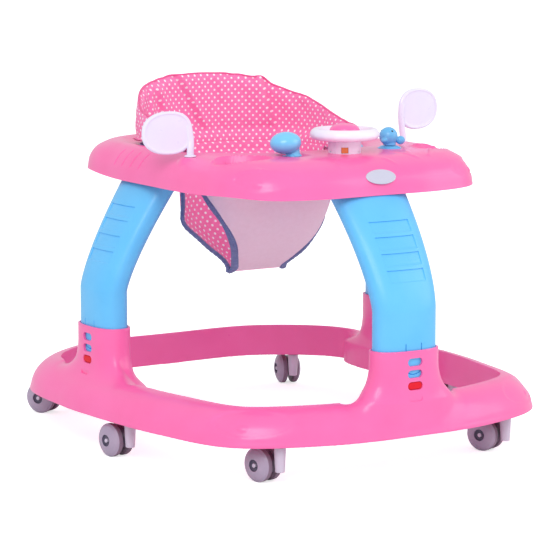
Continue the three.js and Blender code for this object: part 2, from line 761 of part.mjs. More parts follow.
function mirrorFrame(side, rise) {
  const { halfWidth, halfHeight, thick } = mirror;
  const centre = mirrorDisc(rise, side);
  const dish = turned([[0, -thick / 2], [0.9, -thick / 2], [1, 0], [0.97, thick / 2], [0, thick / 2]], 24)
    .scale(halfWidth, halfHeight, 1).rotateX(-Math.PI / 2);
  const recess = ellipseDisc(halfWidth - 4.5, halfHeight - 4.5, 0.9, 10, 20).rotateX(-Math.PI / 2);
  const base = tray.crown - 0.6;
  const foot = cylinder(6, base, base + 2, 16);
  const pin = cylinder(mirror.pin, tray.crown - 18, base + 1, 12);
  const path = new THREE.CatmullRomCurve3([
    new THREE.Vector3(0, 0, base + 1),
    new THREE.Vector3(-side * 1, 3, base + 12),
    new THREE.Vector3(-side * 3, 8, centre.z - 12),
    new THREE.Vector3(-side * 3, 11, centre.z + 8),
  ]);
  const stem = tube(path, mirror.stem, 7, 10, false);
  const shift = (g) => toSolid(g.translate(centre.x, centre.y, centre.z));
  const hollow = shift(recess);
  const upright = cut(toSolid(stem), hollow);
  const solid = join(cut(shift(dish), hollow), toSolid(foot), toSolid(pin), upright);
  return mirrorPlaced(toGeometry(solid), side);
}

function mirrorPlate(side, rise) {
  const centre = mirrorDisc(rise, side);
  const plate = ellipseDisc(mirror.halfWidth - 5, mirror.halfHeight - 5, 1.3, 2.9, 20)
    .rotateX(-Math.PI / 2);
  return mirrorPlaced(plate.translate(centre.x, centre.y, centre.z), side);
}

// ---- assembly ----------------------------------------------------------------------------
const walker = new THREE.Group();
walker.name = 'baby_walker';

function addPart(name, geometry, colour, roughness = 0.4, metalness = 0) {
  const material = new THREE.MeshStandardMaterial({ color: colours[colour], roughness, metalness });
  const mesh = new THREE.Mesh(geometry, material);
  mesh.name = name;
  walker.add(mesh);
}

addPart('base_ring', baseRing(), 'shell', 0.35);
for (const [side, place] of Object.entries(legPlaces)) {
  addPart(`leg_${side}`, legBody(place), 'leg', 0.35);
  addPart(`latch_tongue_${side}`, latchTongue(place), 'leg', 0.4);
  addPart(`latch_button_${side}`, latchButton(place), 'red', 0.35);
  addPart(`leg_screw_${side}`, legScrew(place), 'steel', 0.35, 0.9);
}
addPart('tray', trayBody(), 'shell', 0.35);
addPart('badge_plate', badgePlate(), 'badge', 0.3);
addPart('seat_hoop', seatHoop(), 'hoop', 0.45);
addPart('seat_backrest', backrestBody(), 'fabric', 0.9);
addPart('seat_front_panel', frontPanel(), 'panel', 0.9);
addPart('seat_sling', rearSling(), 'fabric', 0.9);
addPart('leg_binding_left', legBinding(-1), 'navy', 0.85);
addPart('leg_binding_right', legBinding(1), 'navy', 0.85);

addPart('steering_column', steeringColumn(), 'white', 0.35);
addPart('steering_insert', steeringInsert(), 'orange', 0.4);
addPart('steering_ring', steeringRing(), 'white', 0.3);
addPart('steering_cap', steeringCap(), 'shell', 0.3);
addPart('steering_spindle', steeringSpindle(), 'steel', 0.35, 0.9);
addPart('knob_fork', knobFork(), 'white', 0.4);
addPart('knob_lever', knobLever(), 'toy', 0.3);
addPart('knob_pin', knobPin(), 'steel', 0.35, 0.9);
addPart('animal_base', animalBase(), 'toy', 0.35);
addPart('animal_body', animalBody(), 'toy', 0.3);
addPart('animal_spindle', atToy(headedPin(animal.spindle, 7, 421, 441.4), animal), 'steel', 0.35, 0.9);
for (const [name, side, rise] of [['left', -1, 36], ['right', 1, 53]]) {
  addPart(`mirror_frame_${name}`, mirrorFrame(side, rise), 'white', 0.3);
  addPart(`mirror_plate_${name}`, mirrorPlate(side, rise), 'glass', 0.1, 0.9);
}

for (const [name, place] of Object.entries(casterPlaces)) {
  addPart(`caster_body_${name}`, casterBody(place), 'post', 0.4);
  addPart(`caster_axle_${name}`, axleBody(place), 'steel', 0.3, 0.9);
  addPart(`wheel_outer_${name}`, wheelBody(place, -1), 'wheel', 0.45);
  addPart(`wheel_inner_${name}`, wheelBody(place, 1), 'wheel', 0.45);
}

export default walker;
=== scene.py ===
import json
import math

import bmesh
import bpy
import numpy as np
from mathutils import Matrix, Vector
from mathutils.bvhtree import BVHTree


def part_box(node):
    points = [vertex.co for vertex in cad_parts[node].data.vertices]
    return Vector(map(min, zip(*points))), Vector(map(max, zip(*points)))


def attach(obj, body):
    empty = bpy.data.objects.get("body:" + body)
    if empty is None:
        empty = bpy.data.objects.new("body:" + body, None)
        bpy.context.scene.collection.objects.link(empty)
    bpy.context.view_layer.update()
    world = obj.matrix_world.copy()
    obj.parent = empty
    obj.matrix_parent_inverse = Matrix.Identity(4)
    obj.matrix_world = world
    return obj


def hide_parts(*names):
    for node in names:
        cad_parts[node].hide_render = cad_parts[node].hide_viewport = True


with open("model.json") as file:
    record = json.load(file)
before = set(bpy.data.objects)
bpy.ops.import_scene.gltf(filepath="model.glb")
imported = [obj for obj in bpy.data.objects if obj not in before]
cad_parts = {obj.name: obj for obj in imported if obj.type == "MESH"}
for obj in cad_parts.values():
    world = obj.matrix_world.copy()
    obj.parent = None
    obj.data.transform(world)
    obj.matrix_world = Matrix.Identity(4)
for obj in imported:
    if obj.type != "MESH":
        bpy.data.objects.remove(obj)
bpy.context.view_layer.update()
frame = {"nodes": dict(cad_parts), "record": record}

# ---- studio ------------------------------------------------------------------------------
# A pale seamless floor, two large soft boxes and an even white surround, so that the plastic
# keeps its own colour and only soft shade shows under the tray and inside the base ring.
scene = bpy.context.scene
scene.view_settings.view_transform = "Standard"


def put_in(name, data):
    """A new object in the scene."""
    obj = bpy.data.objects.new(name, data)
    scene.collection.objects.link(obj)
    return obj


camera = put_in("camera", bpy.data.cameras.new("camera"))
camera.location = (-2.0873, -3.2624, 0.8096)
camera.rotation_mode = "QUATERNION"
camera.rotation_quaternion = Vector((1410.5, 2200.8, -393.3)).to_track_quat("-Z", "Y")
camera.data.lens = 169.93
camera.data.clip_start = 0.1
scene.camera = camera


def soft_box(name, place, target, size, watts):
    lamp = bpy.data.lights.new(name, "AREA")
    lamp.shape = "RECTANGLE"
    lamp.size, lamp.size_y = size
    lamp.energy = watts
    box = put_in(name, lamp)
    box.location = place
    box.rotation_mode = "QUATERNION"
    box.rotation_quaternion = (Vector(target) - Vector(place)).to_track_quat("-Z", "Y")


soft_box("key_box", (-2.1, -2.6, 2.6), (0, 0, 0.25), (2.2, 1.8), 52)
soft_box("fill_box", (2.6, -1.9, 1.5), (0, 0, 0.3), (2.0, 2.0), 19)


def feed(tree, target, inputs):
    """Sets inputs of a node to values, or links them from outputs."""
    for key, value in inputs.items():
        if isinstance(value, bpy.types.NodeSocket):
            tree.links.new(value, target.inputs[key])
        else:
            target.inputs[key].default_value = value
    return target


def add_node(tree, kind, inputs=None, **settings):
    """A new node with its settings and its inputs."""
    made = tree.nodes.new(kind)
    for key, value in settings.items():
        setattr(made, key, value)
    return feed(tree, made, inputs or {})


def maths(tree, operation, *values):
    """The result of one Math node over values and outputs."""
    return add_node(tree, "ShaderNodeMath", dict(enumerate(values)), operation=operation).outputs[0]


def new_material(name):
    """A material with its node tree and its shader."""
    material = bpy.data.materials.new(name)
    material.use_nodes = True
    return material, material.node_tree, material.node_tree.nodes["Principled BSDF"]


world = bpy.data.worlds.new("surround")
scene.world = world
world.use_nodes = True
sky = world.node_tree
sky.nodes.clear()
paths = add_node(sky, "ShaderNodeLightPath").outputs
seen = maths(sky, "MAXIMUM", paths["Is Camera Ray"], paths["Is Transmission Ray"])
ambient = add_node(sky, "ShaderNodeBackground", {"Color": (0.97, 0.97, 1.0, 1), "Strength": 0.81})
backdrop = add_node(sky, "ShaderNodeBackground", {"Color": (1, 1, 1, 1), "Strength": 1.0})
either = {0: seen, 1: ambient.outputs[0], 2: backdrop.outputs[0]}
either = add_node(sky, "ShaderNodeMixShader", either)
add_node(sky, "ShaderNodeOutputWorld", {"Surface": either.outputs[0]})

floor_mesh = bpy.data.meshes.new("floor")
corners = [(-90, -90, 0), (90, -90, 0), (90, 90, 0), (-90, 90, 0)]
floor_mesh.from_pydata(corners, [], [(0, 1, 2, 3)])
floor = put_in("floor", floor_mesh)
paper, tree, skin = new_material("pale_paper")
seen = add_node(tree, "ShaderNodeLightPath").outputs["Is Camera Ray"]
feed(tree, skin, {
    "Base Color": (0.9, 0.9, 0.91, 1), "Roughness": 0.9, "Specular IOR Level": 0.1,
    "Emission Color": (1, 1, 1, 1), "Emission Strength": maths(tree, "MULTIPLY", seen, 0.62),
})
floor_mesh.materials.append(paper)

# ---- base ring with its three leg sockets ------------------------------------------------
# One large injection moulding in glossy pink: a hollow ring of quarter-round section with a
# plain inner wall, drawn up at three places into sockets that take the height legs.
MM = 0.001
WALL = 3
RING = {"rim": 54, "height": 49, "width": 47, "wall": 6}
RING_HALF = [
    (0, -357), (132, -346), (256, -285), (297, -150), (310, -25),
    (311.5, 105), (284, 250), (162, 345), (0, 355.8),
]
LEG = {
    "half_x": 49, "half_y": 24, "bottom": 66, "bend": 225, "tray": 371, "top": 385, "power": 2.5,
}
# In a leg's own frame the ring's inner wall lies at y ring_inside. The foot of a side socket
# runs out further along the ring, by spread, and beyond that wall it lies lower, by droop.
SIDE_LEG = {"lean": 75, "bend": 1.3, "ring_inside": -11.4, "spread": 0.6, "droop": 11}
LEG_PLACES = {
    "front": {
        "at": (0, -323), "turn": 0.0, "lean": 85, "bend": 1.5, "ring_inside": 13, "spread": 0,
        "droop": 0,
    },
    "left": {"at": (-253, 75), "turn": -math.pi / 2, **SIDE_LEG},
    "right": {"at": (253, 75), "turn": math.pi / 2, **SIDE_LEG},
}
SOCKET = {"clear": 0.5, "wall": 3.5, "floor": 58, "rim": 173}
WINDOWS = {"width": 26, "height": 12, "first": 124, "pitch": 16.5}
CASTERS = {
    "front_left": ((-192, -305), (-0.22, 0.98)), "front_right": ((192, -305), (-0.38, 0.93)),
    "mid_left": ((-284, -55), (-0.16, 0.99)), "mid_right": ((284, -55), (-0.2, 0.98)),
    "rear_left": ((-212, 286), (-0.5, 0.86)), "rear_right": ((212, 286), (0.27, 0.96)),
}


def smooth_step(low, high, value):
    t = np.clip((value - low) / (high - low), 0, 1)
    return t * t * (3 - 2 * t)


def full_turn(count):
    return np.linspace(0, 2 * math.pi, count, endpoint=False)


def unit(vectors):
    return vectors / np.maximum(np.linalg.norm(vectors, axis=-1)[..., None], 1e-9)


def run_along(path):
    """The length of a path up to each of its points."""
    return np.concatenate([[0], np.cumsum(np.linalg.norm(np.diff(path, axis=0), axis=1))])


def set_down(points, turn, at):
    """Points turned about an upright axis and moved to a place on the plan."""
    p = np.asarray(points, float)
    c, s = math.cos(turn), math.sin(turn)
    x, y = p[..., 0] * c - p[..., 1] * s, p[..., 0] * s + p[..., 1] * c
    return np.stack([x + at[0], y + at[1], p[..., 2]], -1)


def spline(points, count, closed=True):
    """Points along a centripetal spline, evenly spaced by length."""
    knots = np.array(points, float)
    if not closed:
        knots = np.vstack([2 * knots[0] - knots[1], knots, 2 * knots[-1] - knots[-2]])
    spans = len(knots) if closed else len(knots) - 3
    offset = 0 if closed else 1
    t = np.linspace(0, spans, spans * 80 + 1)
    k = np.minimum(t.astype(int), spans - 1)
    w = (t - k)[:, None]
    p0, p1, p2, p3 = (knots[(k + offset + d) % len(knots)] for d in (-1, 0, 1, 2))
    d0, d1, d2 = (
        np.sqrt(np.linalg.norm(b - a, axis=1))[:, None] + 1e-9
        for a, b in ((p0, p1), (p1, p2), (p2, p3))
    )
    m1 = ((p1 - p0) / d0 - (p2 - p0) / (d0 + d1) + (p2 - p1) / d1) * d1
    m2 = ((p2 - p1) / d1 - (p3 - p1) / (d1 + d2) + (p3 - p2) / d2) * d1
    path = p1 + m1 * w + (-3 * p1 + 3 * p2 - 2 * m1 - m2) * w**2
    path += (2 * p1 - 2 * p2 + m1 + m2) * w**3
    run = run_along(path)
    steps = np.linspace(0, run[-1], count + 1 if closed else count)
    if closed:
        steps = steps[:-1]
    return np.stack([np.interp(steps, run, path[:, c]) for c in range(path.shape[1])], 1)


def outline(half, count):
    """A closed outline from its right-hand half, with the inward direction at each point."""
    mirrored = [(-x, y) for x, y in reversed(half[1:-1])]
    at = spline(half + mirrored, count)
    along = unit(np.roll(at, -1, 0) - np.roll(at, 1, 0))
    return at, np.stack([-along[:, 1], along[:, 0]], 1)


def lattice(rows, cols, wrap_rows=True, wrap_cols=True):
    """The quads of a grid of points, row by row."""
    i = np.arange(rows if wrap_rows else rows - 1)[:, None]
    j = np.arange(cols if wrap_cols else cols - 1)[None, :]
    i2, j2 = (i + 1) % rows, (j + 1) % cols
    quads = np.stack([i * cols + j, i2 * cols + j, i2 * cols + j2, i * cols + j2], -1)
    return [tuple(q) for q in quads.reshape(-1, 4).tolist()]


def new_object(name, points, faces):
    """A mesh object from points in millimetres, with its faces turned outwards."""
    mesh = bpy.data.meshes.new(name)
    mesh.from_pydata((np.asarray(points, float) * MM).tolist(), [], faces)
    shape = bmesh.new()
    shape.from_mesh(mesh)
    bmesh.ops.recalc_face_normals(shape, faces=shape.faces)
    if shape.calc_volume(signed=True) < 0:
        bmesh.ops.reverse_faces(shape, faces=shape.faces)
    shape.to_mesh(mesh)
    shape.free()
    return put_in(name, mesh)


def loft(name, rows, closed=False):
    """A closed body over rows of points: capped at both ends, or wrapped round."""
    rows = np.asarray(rows, float)
    count, cols = rows.shape[:2]
    faces = lattice(count, cols, closed, True)
    if not closed:
        faces.append(tuple(range(cols)))
        faces.append(tuple(reversed(range((count - 1) * cols, count * cols))))
    return new_object(name, rows.reshape(-1, 3), faces)


def settle(obj):
    """Applies the modifiers of obj and removes them."""
    depsgraph = bpy.context.evaluated_depsgraph_get()
    mesh = bpy.data.meshes.new_from_object(obj.evaluated_get(depsgraph))
    obj.modifiers.clear()
    old, obj.data = obj.data, mesh
    bpy.data.meshes.remove(old)
    return obj


def regrid(obj, voxel):
    """Gives a body an even mesh, with faces voxel millimetres wide."""
    grid = obj.modifiers.new("grid", "REMESH")
    grid.mode, grid.voxel_size = "VOXEL", voxel * MM
    return settle(obj)


def combine(obj, tools, how="DIFFERENCE"):
    """Cuts the tools from obj, or joins them to it, and removes them."""
    for tool in tools:
        step = obj.modifiers.new("step", "BOOLEAN")
        step.operation, step.solver, step.object = how, "MANIFOLD", tool
    settle(obj)
    for tool in tools:
        bpy.data.objects.remove(tool)
    return obj


def per_point(obj, what):
    values = np.zeros(len(obj.data.vertices) * 3)
    obj.data.vertices.foreach_get(what, values)
    return values.reshape(-1, 3)


def points_of(obj):
    return per_point(obj, "co") / MM


def move_points(obj, points):
    obj.data.vertices.foreach_set("co", (points * MM).astype(np.float32).ravel())
    obj.data.update()


def dress(obj, material, body, replaced=(), angle=32):
    """Gives a finished piece its material, its shading and its place on a body."""
    mesh = obj.data
    mesh.materials.clear()
    mesh.materials.append(material)
    mesh.polygons.foreach_set("use_smooth", [True] * len(mesh.polygons))
    mesh.set_sharp_from_angle(angle=math.radians(angle))
    even = obj.modifiers.new("even_shading", "WEIGHTED_NORMAL")
    even.keep_sharp = True
    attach(obj, body)
    if replaced:
        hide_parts(*replaced)
    return obj


def place_leg(points, place):
    """Local x runs along the ring and local y towards the walker's middle."""
    return set_down(points, place["turn"], place["at"])


def superellipse(half_x, half_y, z, angles, power=LEG["power"]):
    c, s = np.cos(angles), np.sin(angles)
    x = half_x * np.sign(c) * np.abs(c) ** (2 / power)
    y = half_y * np.sign(s) * np.abs(s) ** (2 / power)
    return np.stack([x, y, np.full_like(x, z)], 1)


def turned(name, profile, at, sides=96, closed=False):
    """A body turned about an upright axis from (radius, height) points."""
    a = full_turn(sides)
    rows = []
    for radius, z in np.asarray(profile, float):
        r = max(radius, 0.02)
        rows.append(np.stack([at[0] + r * np.cos(a), at[1] + r * np.sin(a), np.full(sides, z)], 1))
    return loft(name, rows, closed=closed)


def ring_arc(inset, count):
    a = np.linspace(0, math.pi / 2, count)
    across = inset + (RING["width"] - 2 * inset) * (1 - np.cos(a))
    return np.stack([across, RING["rim"] + (RING["height"] - inset) * np.sin(a)], 1)


def ring_sweep(name, section, stations):
    at, inward = outline(RING_HALF, stations)
    rows = np.zeros((stations, len(section), 3))
    rows[..., :2] = at[:, None] + inward[:, None] * np.asarray(section)[None, :, :1]
    rows[..., 2] = np.asarray(section)[None, :, 1]
    return loft(name, rows, closed=True)


RIM_LIP = [(0, RING["rim"]), (-0.9, RING["rim"] + 0.8), (-0.9, RING["rim"] + 3.2)]
ring_solid = ring_sweep(
    "ring_solid", np.vstack([RIM_LIP, ring_arc(0, 30)[3:], [(RING["width"], RING["rim"])]]), 620,
)


def leg_level(grow, z):
    """A leg's section, grown all round, at a height."""
    return superellipse(LEG["half_x"] + grow, LEG["half_y"] + grow, z, full_turn(64))


socket_grow = SOCKET["clear"] + SOCKET["wall"]
FLARE = [  # height, and how far the socket's foot reaches along the ring
    (158, 0), (144, 0.8), (134, 3), (126, 6), (119, 10.5), (113, 16), (108, 22), (104.5, 28),
    (101, 33), (90, 35), (56, 35),
]
FLARE_FULL = 35
raised = []
for name, place in LEG_PLACES.items():
    levels = [leg_level(socket_grow, z) for z in np.linspace(SOCKET["floor"], SOCKET["rim"], 30)]
    raised.append(loft("tower_" + name, place_leg(levels, place)))
    flare = []
    for z, along in FLARE:
        along *= 1 + place["spread"] * smooth_step(118, 104, z)
        level = superellipse(
            LEG["half_x"] + socket_grow + along * 0.98 - 0.2,
            LEG["half_y"] + socket_grow + along * 0.1 - 0.2, z, full_turn(64),
        )
        beyond = np.maximum(level[:, 1] - place["ring_inside"] + 2, 0)
        if place["droop"]:
            level[:, 2] -= place["droop"] * smooth_step(0, 16, beyond) * smooth_step(62, 90, z)
        else:
            foot_end = LEG["half_x"] + socket_grow + along
            squeeze = smooth_step(54, foot_end + 8, np.abs(level[:, 0]))
            level[:, 1] -= beyond * along / FLARE_FULL * squeeze
        flare.append(level)
    raised.append(loft("flare_" + name, place_leg(flare, place)))


def surface_tree(objects):
    points, faces, start = [], [], 0
    for obj in objects:
        points += [v.co[:] for v in obj.data.vertices]
        faces += [[start + i for i in p.vertices] for p in obj.data.polygons]
        start = len(points)
    return BVHTree.FromPolygons(points, faces)


ring_tree = surface_tree([ring_solid])
tower_tree = surface_tree(raised)
base_shell = combine(ring_solid, raised, "UNION")
base_shell.name = "base_shell"
regrid(base_shell, 2.5)

# The remeshed skin goes back onto the true surfaces, and only the foot of each socket is
# eased into a fillet, as the moulding tool has it.
FILLET = {"snap": 2.2, "band": (4, 15), "rounds": 60, "pull": 0.8}


def nearest_on(surface, points):
    """The nearest place on a surface to each point, and how far off it is."""
    hits = [surface.find_nearest(Vector(p * MM)) for p in points]
    return np.array([hit[0][:] for hit in hits]) / MM, np.array([hit[3] for hit in hits]) / MM


skin = points_of(base_shell)
on_ring, gap_ring = nearest_on(ring_tree, skin)
on_tower, gap_tower = nearest_on(tower_tree, skin)
snapped = np.where((gap_ring < gap_tower)[:, None], on_ring, on_tower)
snapped = np.where((np.minimum(gap_ring, gap_tower) < FILLET["snap"])[:, None], snapped, skin)
crease = 1 - smooth_step(*FILLET["band"], np.maximum(gap_ring, gap_tower))
crease *= smooth_step(62, 72, skin[:, 2])
crease = np.minimum(1, crease * 1.3)
ends = np.array([e.vertices[:] for e in base_shell.data.edges])
degree = np.bincount(ends.ravel(), minlength=len(skin))[:, None]
shape = snapped.copy()
for _ in range(FILLET["rounds"]):
    total = np.zeros_like(shape)
    for c in range(3):
        total[:, c] = np.bincount(ends[:, 0], shape[ends[:, 1], c], len(skin))
        total[:, c] += np.bincount(ends[:, 1], shape[ends[:, 0], c], len(skin))
    shape += (total / degree - shape) * (FILLET["pull"] * crease[:, None])
move_points(base_shell, shape)

# A long oval dish with a small bead in it, in each front corner of the ring.
RING_LAMP = {
    "x": 237, "y": -300, "z": 85, "half": 58, "rise": 17, "tangent": (0.79, 0.61),
    "depth": 2.3, "bead_along": 11, "bead_down": 5,
}


def lamp_press(points, normals, lamp):
    """Presses an oval dish with a bead, deeper at its outer end, into both sides."""
    moved = points.copy()
    for side in (-1, 1):
        heading = np.array([lamp["tangent"][0], side * lamp["tangent"][1], 0.0])
        facing = np.array([side * lamp["tangent"][1], -lamp["tangent"][0], 0.0])
        rel = points - np.array([side * lamp["x"], lamp["y"], lamp["z"]])
        along, up = side * (rel @ heading), rel[:, 2]
        radius = np.hypot(along / lamp["half"], up / lamp["rise"])
        dish = smooth_step(1.0, 0.86, radius) * smooth_step(0.05, 0.35, normals @ facing)
        dish *= smooth_step(100, 80, np.linalg.norm(rel, axis=1))
        deep = 0.4 + 0.6 * smooth_step(-0.3, 0.75, along / lamp["half"])
        bead = np.hypot((along - lamp["bead_along"]) / 8.0, (up + lamp["bead_down"]) / 4.0)
        bead = 1.4 * np.sqrt(np.clip(1 - bead**2, 0, 1)) * dish
        moved -= normals * (lamp["depth"] * dish * deep - bead)[:, None]
    return moved


skin = points_of(base_shell)
from_ring = nearest_on(ring_tree, skin)[1]
pressed = lamp_press(skin, per_point(base_shell, "normal"), RING_LAMP)
move_points(base_shell, skin + (pressed - skin) * smooth_step(14, 6, from_ring)[:, None])

hollow = ring_sweep("hollow", np.vstack([
    [(RING["wall"], 40)], ring_arc(RING["wall"], 14), [(RING["width"] - RING["wall"], 40)],
]), 300)
cores, cavities = [], []
for name, place in LEG_PLACES.items():
    core = [leg_level(socket_grow, z) for z in (SOCKET["floor"], 120)]
    cores.append(loft("core_" + name, place_leg(core, place)))
    cavity = [
        leg_level(SOCKET["clear"], SOCKET["floor"] + WALL),
        leg_level(SOCKET["clear"], SOCKET["rim"] - 1.2), leg_level(1.8, SOCKET["rim"] + 2),
    ]
    cavities.append(loft("cavity_" + name, place_leg(cavity, place)))
for name, (at, _) in CASTERS.items():
    for group, radius, low, high in ((cores, 8.6, 55, 120), (cavities, 4.3, 30, 84)):
        boss = turned("caster_boss_" + name, [(radius, low), (radius, high)], at, 32)
        group.append(boss)
combine(hollow, cores)


def stadium(width, height, z, y_from, y_to, flare=0.0):
    """A slot with round ends, cut along local y and eased at its outer edge."""
    a = full_turn(48)
    rows = []
    for y, grow in ((y_from, flare), (y_from + 1.6 + flare, 0.0), (y_to, 0.0)):
        r = height / 2 + grow
        run = width / 2 - height / 2
        x = np.sign(np.cos(a)) * run + r * np.cos(a)
        rows.append(np.stack([x, np.full_like(a, y), z + r * np.sin(a)], 1))
    return rows


face_y = -(LEG["half_y"] + socket_grow)
blind_z = WINDOWS["first"] - WINDOWS["pitch"]
shell_tree = surface_tree([base_shell])
slots = []
for name, place in LEG_PLACES.items():
    for k in range(3):
        z = WINDOWS["first"] + k * WINDOWS["pitch"]
        size = WINDOWS["width"] - 1.6, WINDOWS["height"] - 1
        rows = stadium(*size, z, face_y - 1.4, face_y + 8, 0.6)
        slots.append(loft(f"slot_{name}_{k}", place_leg(rows, place)))
    start, aim = place_leg([(0, -90, blind_z), (0, 0, blind_z)], place)
    face = shell_tree.ray_cast(Vector(start * MM), Vector(aim - start).normalized())[3] / MM - 90
    rows = stadium(WINDOWS["width"] - 3, WINDOWS["height"] - 2, blind_z, face - 6, face + 0.45)
    slots.append(loft("blind_imprint_" + name, place_leg(rows, place)))
combine(base_shell, [hollow] + cavities + slots)


def new_group(name, kind, inputs, outputs):
    """A node group with its named sockets, and its two end nodes."""
    group = bpy.data.node_groups.new(name, kind)
    for socket, what, *value in inputs:
        made = group.interface.new_socket(socket, in_out="INPUT", socket_type="NodeSocket" + what)
        if value:
            made.default_value = value[0]
    for socket, what in outputs:
        group.interface.new_socket(socket, in_out="OUTPUT", socket_type="NodeSocket" + what)
    return group, group.nodes.new("NodeGroupInput").outputs, group.nodes.new("NodeGroupOutput")


# Mottle, roughness variation and fine grain of an injection moulded surface.
moulded_skin, entry, leave = new_group(
    "moulded_skin", "ShaderNodeTree",
    [("Vector", "Vector"), ("Mottle Scale", "Float", 18.0), ("Grain Scale", "Float", 900.0)],
    [("Mottle", "Float"), ("Sheen Patches", "Float"), ("Grain", "Float")],
)
for effect, scale, detail in (
    ("Mottle", entry["Mottle Scale"], 4), ("Sheen Patches", 60, 3),
    ("Grain", entry["Grain Scale"], 5),
):
    noise = {"Vector": entry["Vector"], "Scale": scale, "Detail": detail}
    texture = add_node(moulded_skin, "ShaderNodeTexNoise", noise)
    feed(moulded_skin, leave, {effect: texture.outputs["Fac"]})


def linear(colour):
    """An sRGB colour, 0 to 255, as the shader wants it."""
    c = np.array(colour, float) / 255
    return (*np.where(c <= 0.04045, c / 12.92, ((c + 0.055) / 1.055) ** 2.4), 1)


def two_tone(tree, mask, first, second, low=0.3, high=0.7):
    """Base colour that runs from first to second over a mask."""
    ramp = add_node(tree, "ShaderNodeValToRGB", {"Fac": mask})
    stops = ramp.color_ramp.elements
    stops[0].position, stops[0].color = low, linear(first)
    stops[1].position, stops[1].color = high, linear(second)
    return ramp.outputs["Color"]


def moulded(name, light, deep, gloss=0.3, grain_depth=0.00004, coat=0.25, mottle=18.0, extra=None):
    """A moulded plastic: two close tones, patchy gloss and a faint grain."""
    material, tree, skin = new_material(name)
    where = add_node(tree, "ShaderNodeTexCoord").outputs["Object"]
    surface = add_node(
        tree, "ShaderNodeGroup", {"Mottle Scale": mottle, "Vector": where}, node_tree=moulded_skin,
    ).outputs
    rough = add_node(tree, "ShaderNodeMapRange", {
        "Value": surface["Sheen Patches"], "To Min": gloss - 0.06, "To Max": gloss + 0.1,
    })
    bump = add_node(tree, "ShaderNodeBump", {
        "Height": surface["Grain"], "Distance": grain_depth, "Strength": 0.6,
    })
    feed(tree, skin, {
        "Base Color": two_tone(tree, surface["Mottle"], deep, light),
        "Roughness": rough.outputs["Result"], "Normal": bump.outputs["Normal"],
        "Coat Weight": coat, "Coat Roughness": 0.12, "IOR": 1.5, **(extra or {}),
    })
    return material


pink_plastic = moulded("pink_plastic", (255, 111, 179), (253, 105, 173))
dress(base_shell, pink_plastic, "base", ["base_ring"])

# ---- latches -----------------------------------------------------------------------------
# In each socket a springy tongue of the leg carries a red catch that clicks into one of the
# three windows. A rounded cap on the catch stands flush with the socket's face.
BUTTON = {"width": 23.2, "height": 10, "proud": 4.2}
red_plastic = moulded(
    "red_plastic", (234, 20, 44), (222, 10, 36), gloss=0.45, coat=0.0,
    extra={"Specular IOR Level": 0.25},
)
proud = BUTTON["proud"]
CAP_STEPS = [(1.6, -proud), (0.5, 0.5 - proud), (0, 1.5 - proud), (0, 0.2), (1.6, 0.4)]
for name, place in LEG_PLACES.items():
    a = full_turn(48)
    r, run = BUTTON["height"] / 2, BUTTON["width"] / 2 - BUTTON["height"] / 2
    rows = []
    for inset, y in CAP_STEPS:
        x = np.sign(np.cos(a)) * run + (r - inset) * np.cos(a)
        z = WINDOWS["first"] + (r - inset) * np.sin(a)
        rows.append(np.stack([x, np.full_like(a, y - LEG["half_y"]), z], 1))
    cap = loft("latch_cap_" + name, place_leg(rows, place))
    dress(cap, red_plastic, "latch_" + name, ["latch_button_" + name])

# ---- height legs -------------------------------------------------------------------------
# Three hollow sky-blue uprights of flattened oval section, which lean in to meet the tray.
# The outward face has four shallow pressed panels and the slits beside the latch tongue.
PANELS = [(330.5, 346), (308.5, 326), (287.5, 304.5), (266, 282.8)]
PANEL_HALF, PANEL_DEPTH = 30, 1.9
SLITS = {
    "half": 13.2, "outside": 14.4, "ease": 0.25, "low": 120, "high": 182.5, "depth": 2.2,
    "curve": 139.5, "rise": 5.5,
}
LEG_GROWS = (10, 4)  # how far the section's half sizes grow up to the tray
FACE_HALF = 52  # half width to which the panels and slits are drawn
blue_plastic = moulded("blue_plastic", (103, 198, 252), (95, 192, 248), gloss=0.36, coat=0.12)


def leg_columns():
    """Angles round the section, with close pairs where a panel or a slit has its edge."""
    angles = list(full_turn(120))
    half, outside, ease = SLITS["half"], SLITS["outside"], SLITS["ease"]
    for x in (PANEL_HALF, PANEL_HALF - 0.5, half, half - ease, outside, outside + ease):
        for side in (-1, 1):
            c = side * (x / FACE_HALF) ** (LEG["power"] / 2)
            angles.append(2 * math.pi - math.acos(c))
    return np.array(sorted(angles))


def leg_rows():
    levels = list(np.arange(LEG["bottom"], LEG["top"] + 0.1, 3.0))
    for low, high in PANELS:
        levels += [low, low + 1.2, high - 0.4, high]
    levels += [SLITS["high"], SLITS["high"] - 0.3]
    return np.array(sorted(set(np.round(levels, 2))))


def leg_body(name, place):
    rows = []
    angles = leg_columns()
    for z in leg_rows():
        rise = max(0.0, z - LEG["bend"]) / (LEG["tray"] - LEG["bend"])
        half_x = LEG["half_x"] + LEG_GROWS[0] * rise
        ring = superellipse(half_x, LEG["half_y"] + LEG_GROWS[1] * rise, z, angles)
        face = ring[:, 1] < -5
        x = np.abs(ring[:, 0]) * FACE_HALF / half_x
        for low, high in PANELS:
            if low < z < high:
                depth = PANEL_DEPTH * (0.6 + 0.4 * (z - low) / (high - low))
                depth *= smooth_step(low, low + 1.2, z)
                depth *= 1 - smooth_step(high - 0.4, high, z)
                inside = 1 - smooth_step(PANEL_HALF - 0.6, PANEL_HALF, x)
                ring[:, 1] += np.where(face, depth * inside, 0)
        if SLITS["low"] < z < SLITS["high"]:
            inside = smooth_step(SLITS["half"] - SLITS["ease"], SLITS["half"], x)
            inside *= 1 - smooth_step(SLITS["outside"], SLITS["outside"] + SLITS["ease"], x)
            ring[:, 1] += np.where(face, SLITS["depth"] * inside, 0)
        ring[:, 1] += place["lean"] * rise ** place["bend"]
        rows.append(ring)
    return loft(name, place_leg(rows, place))


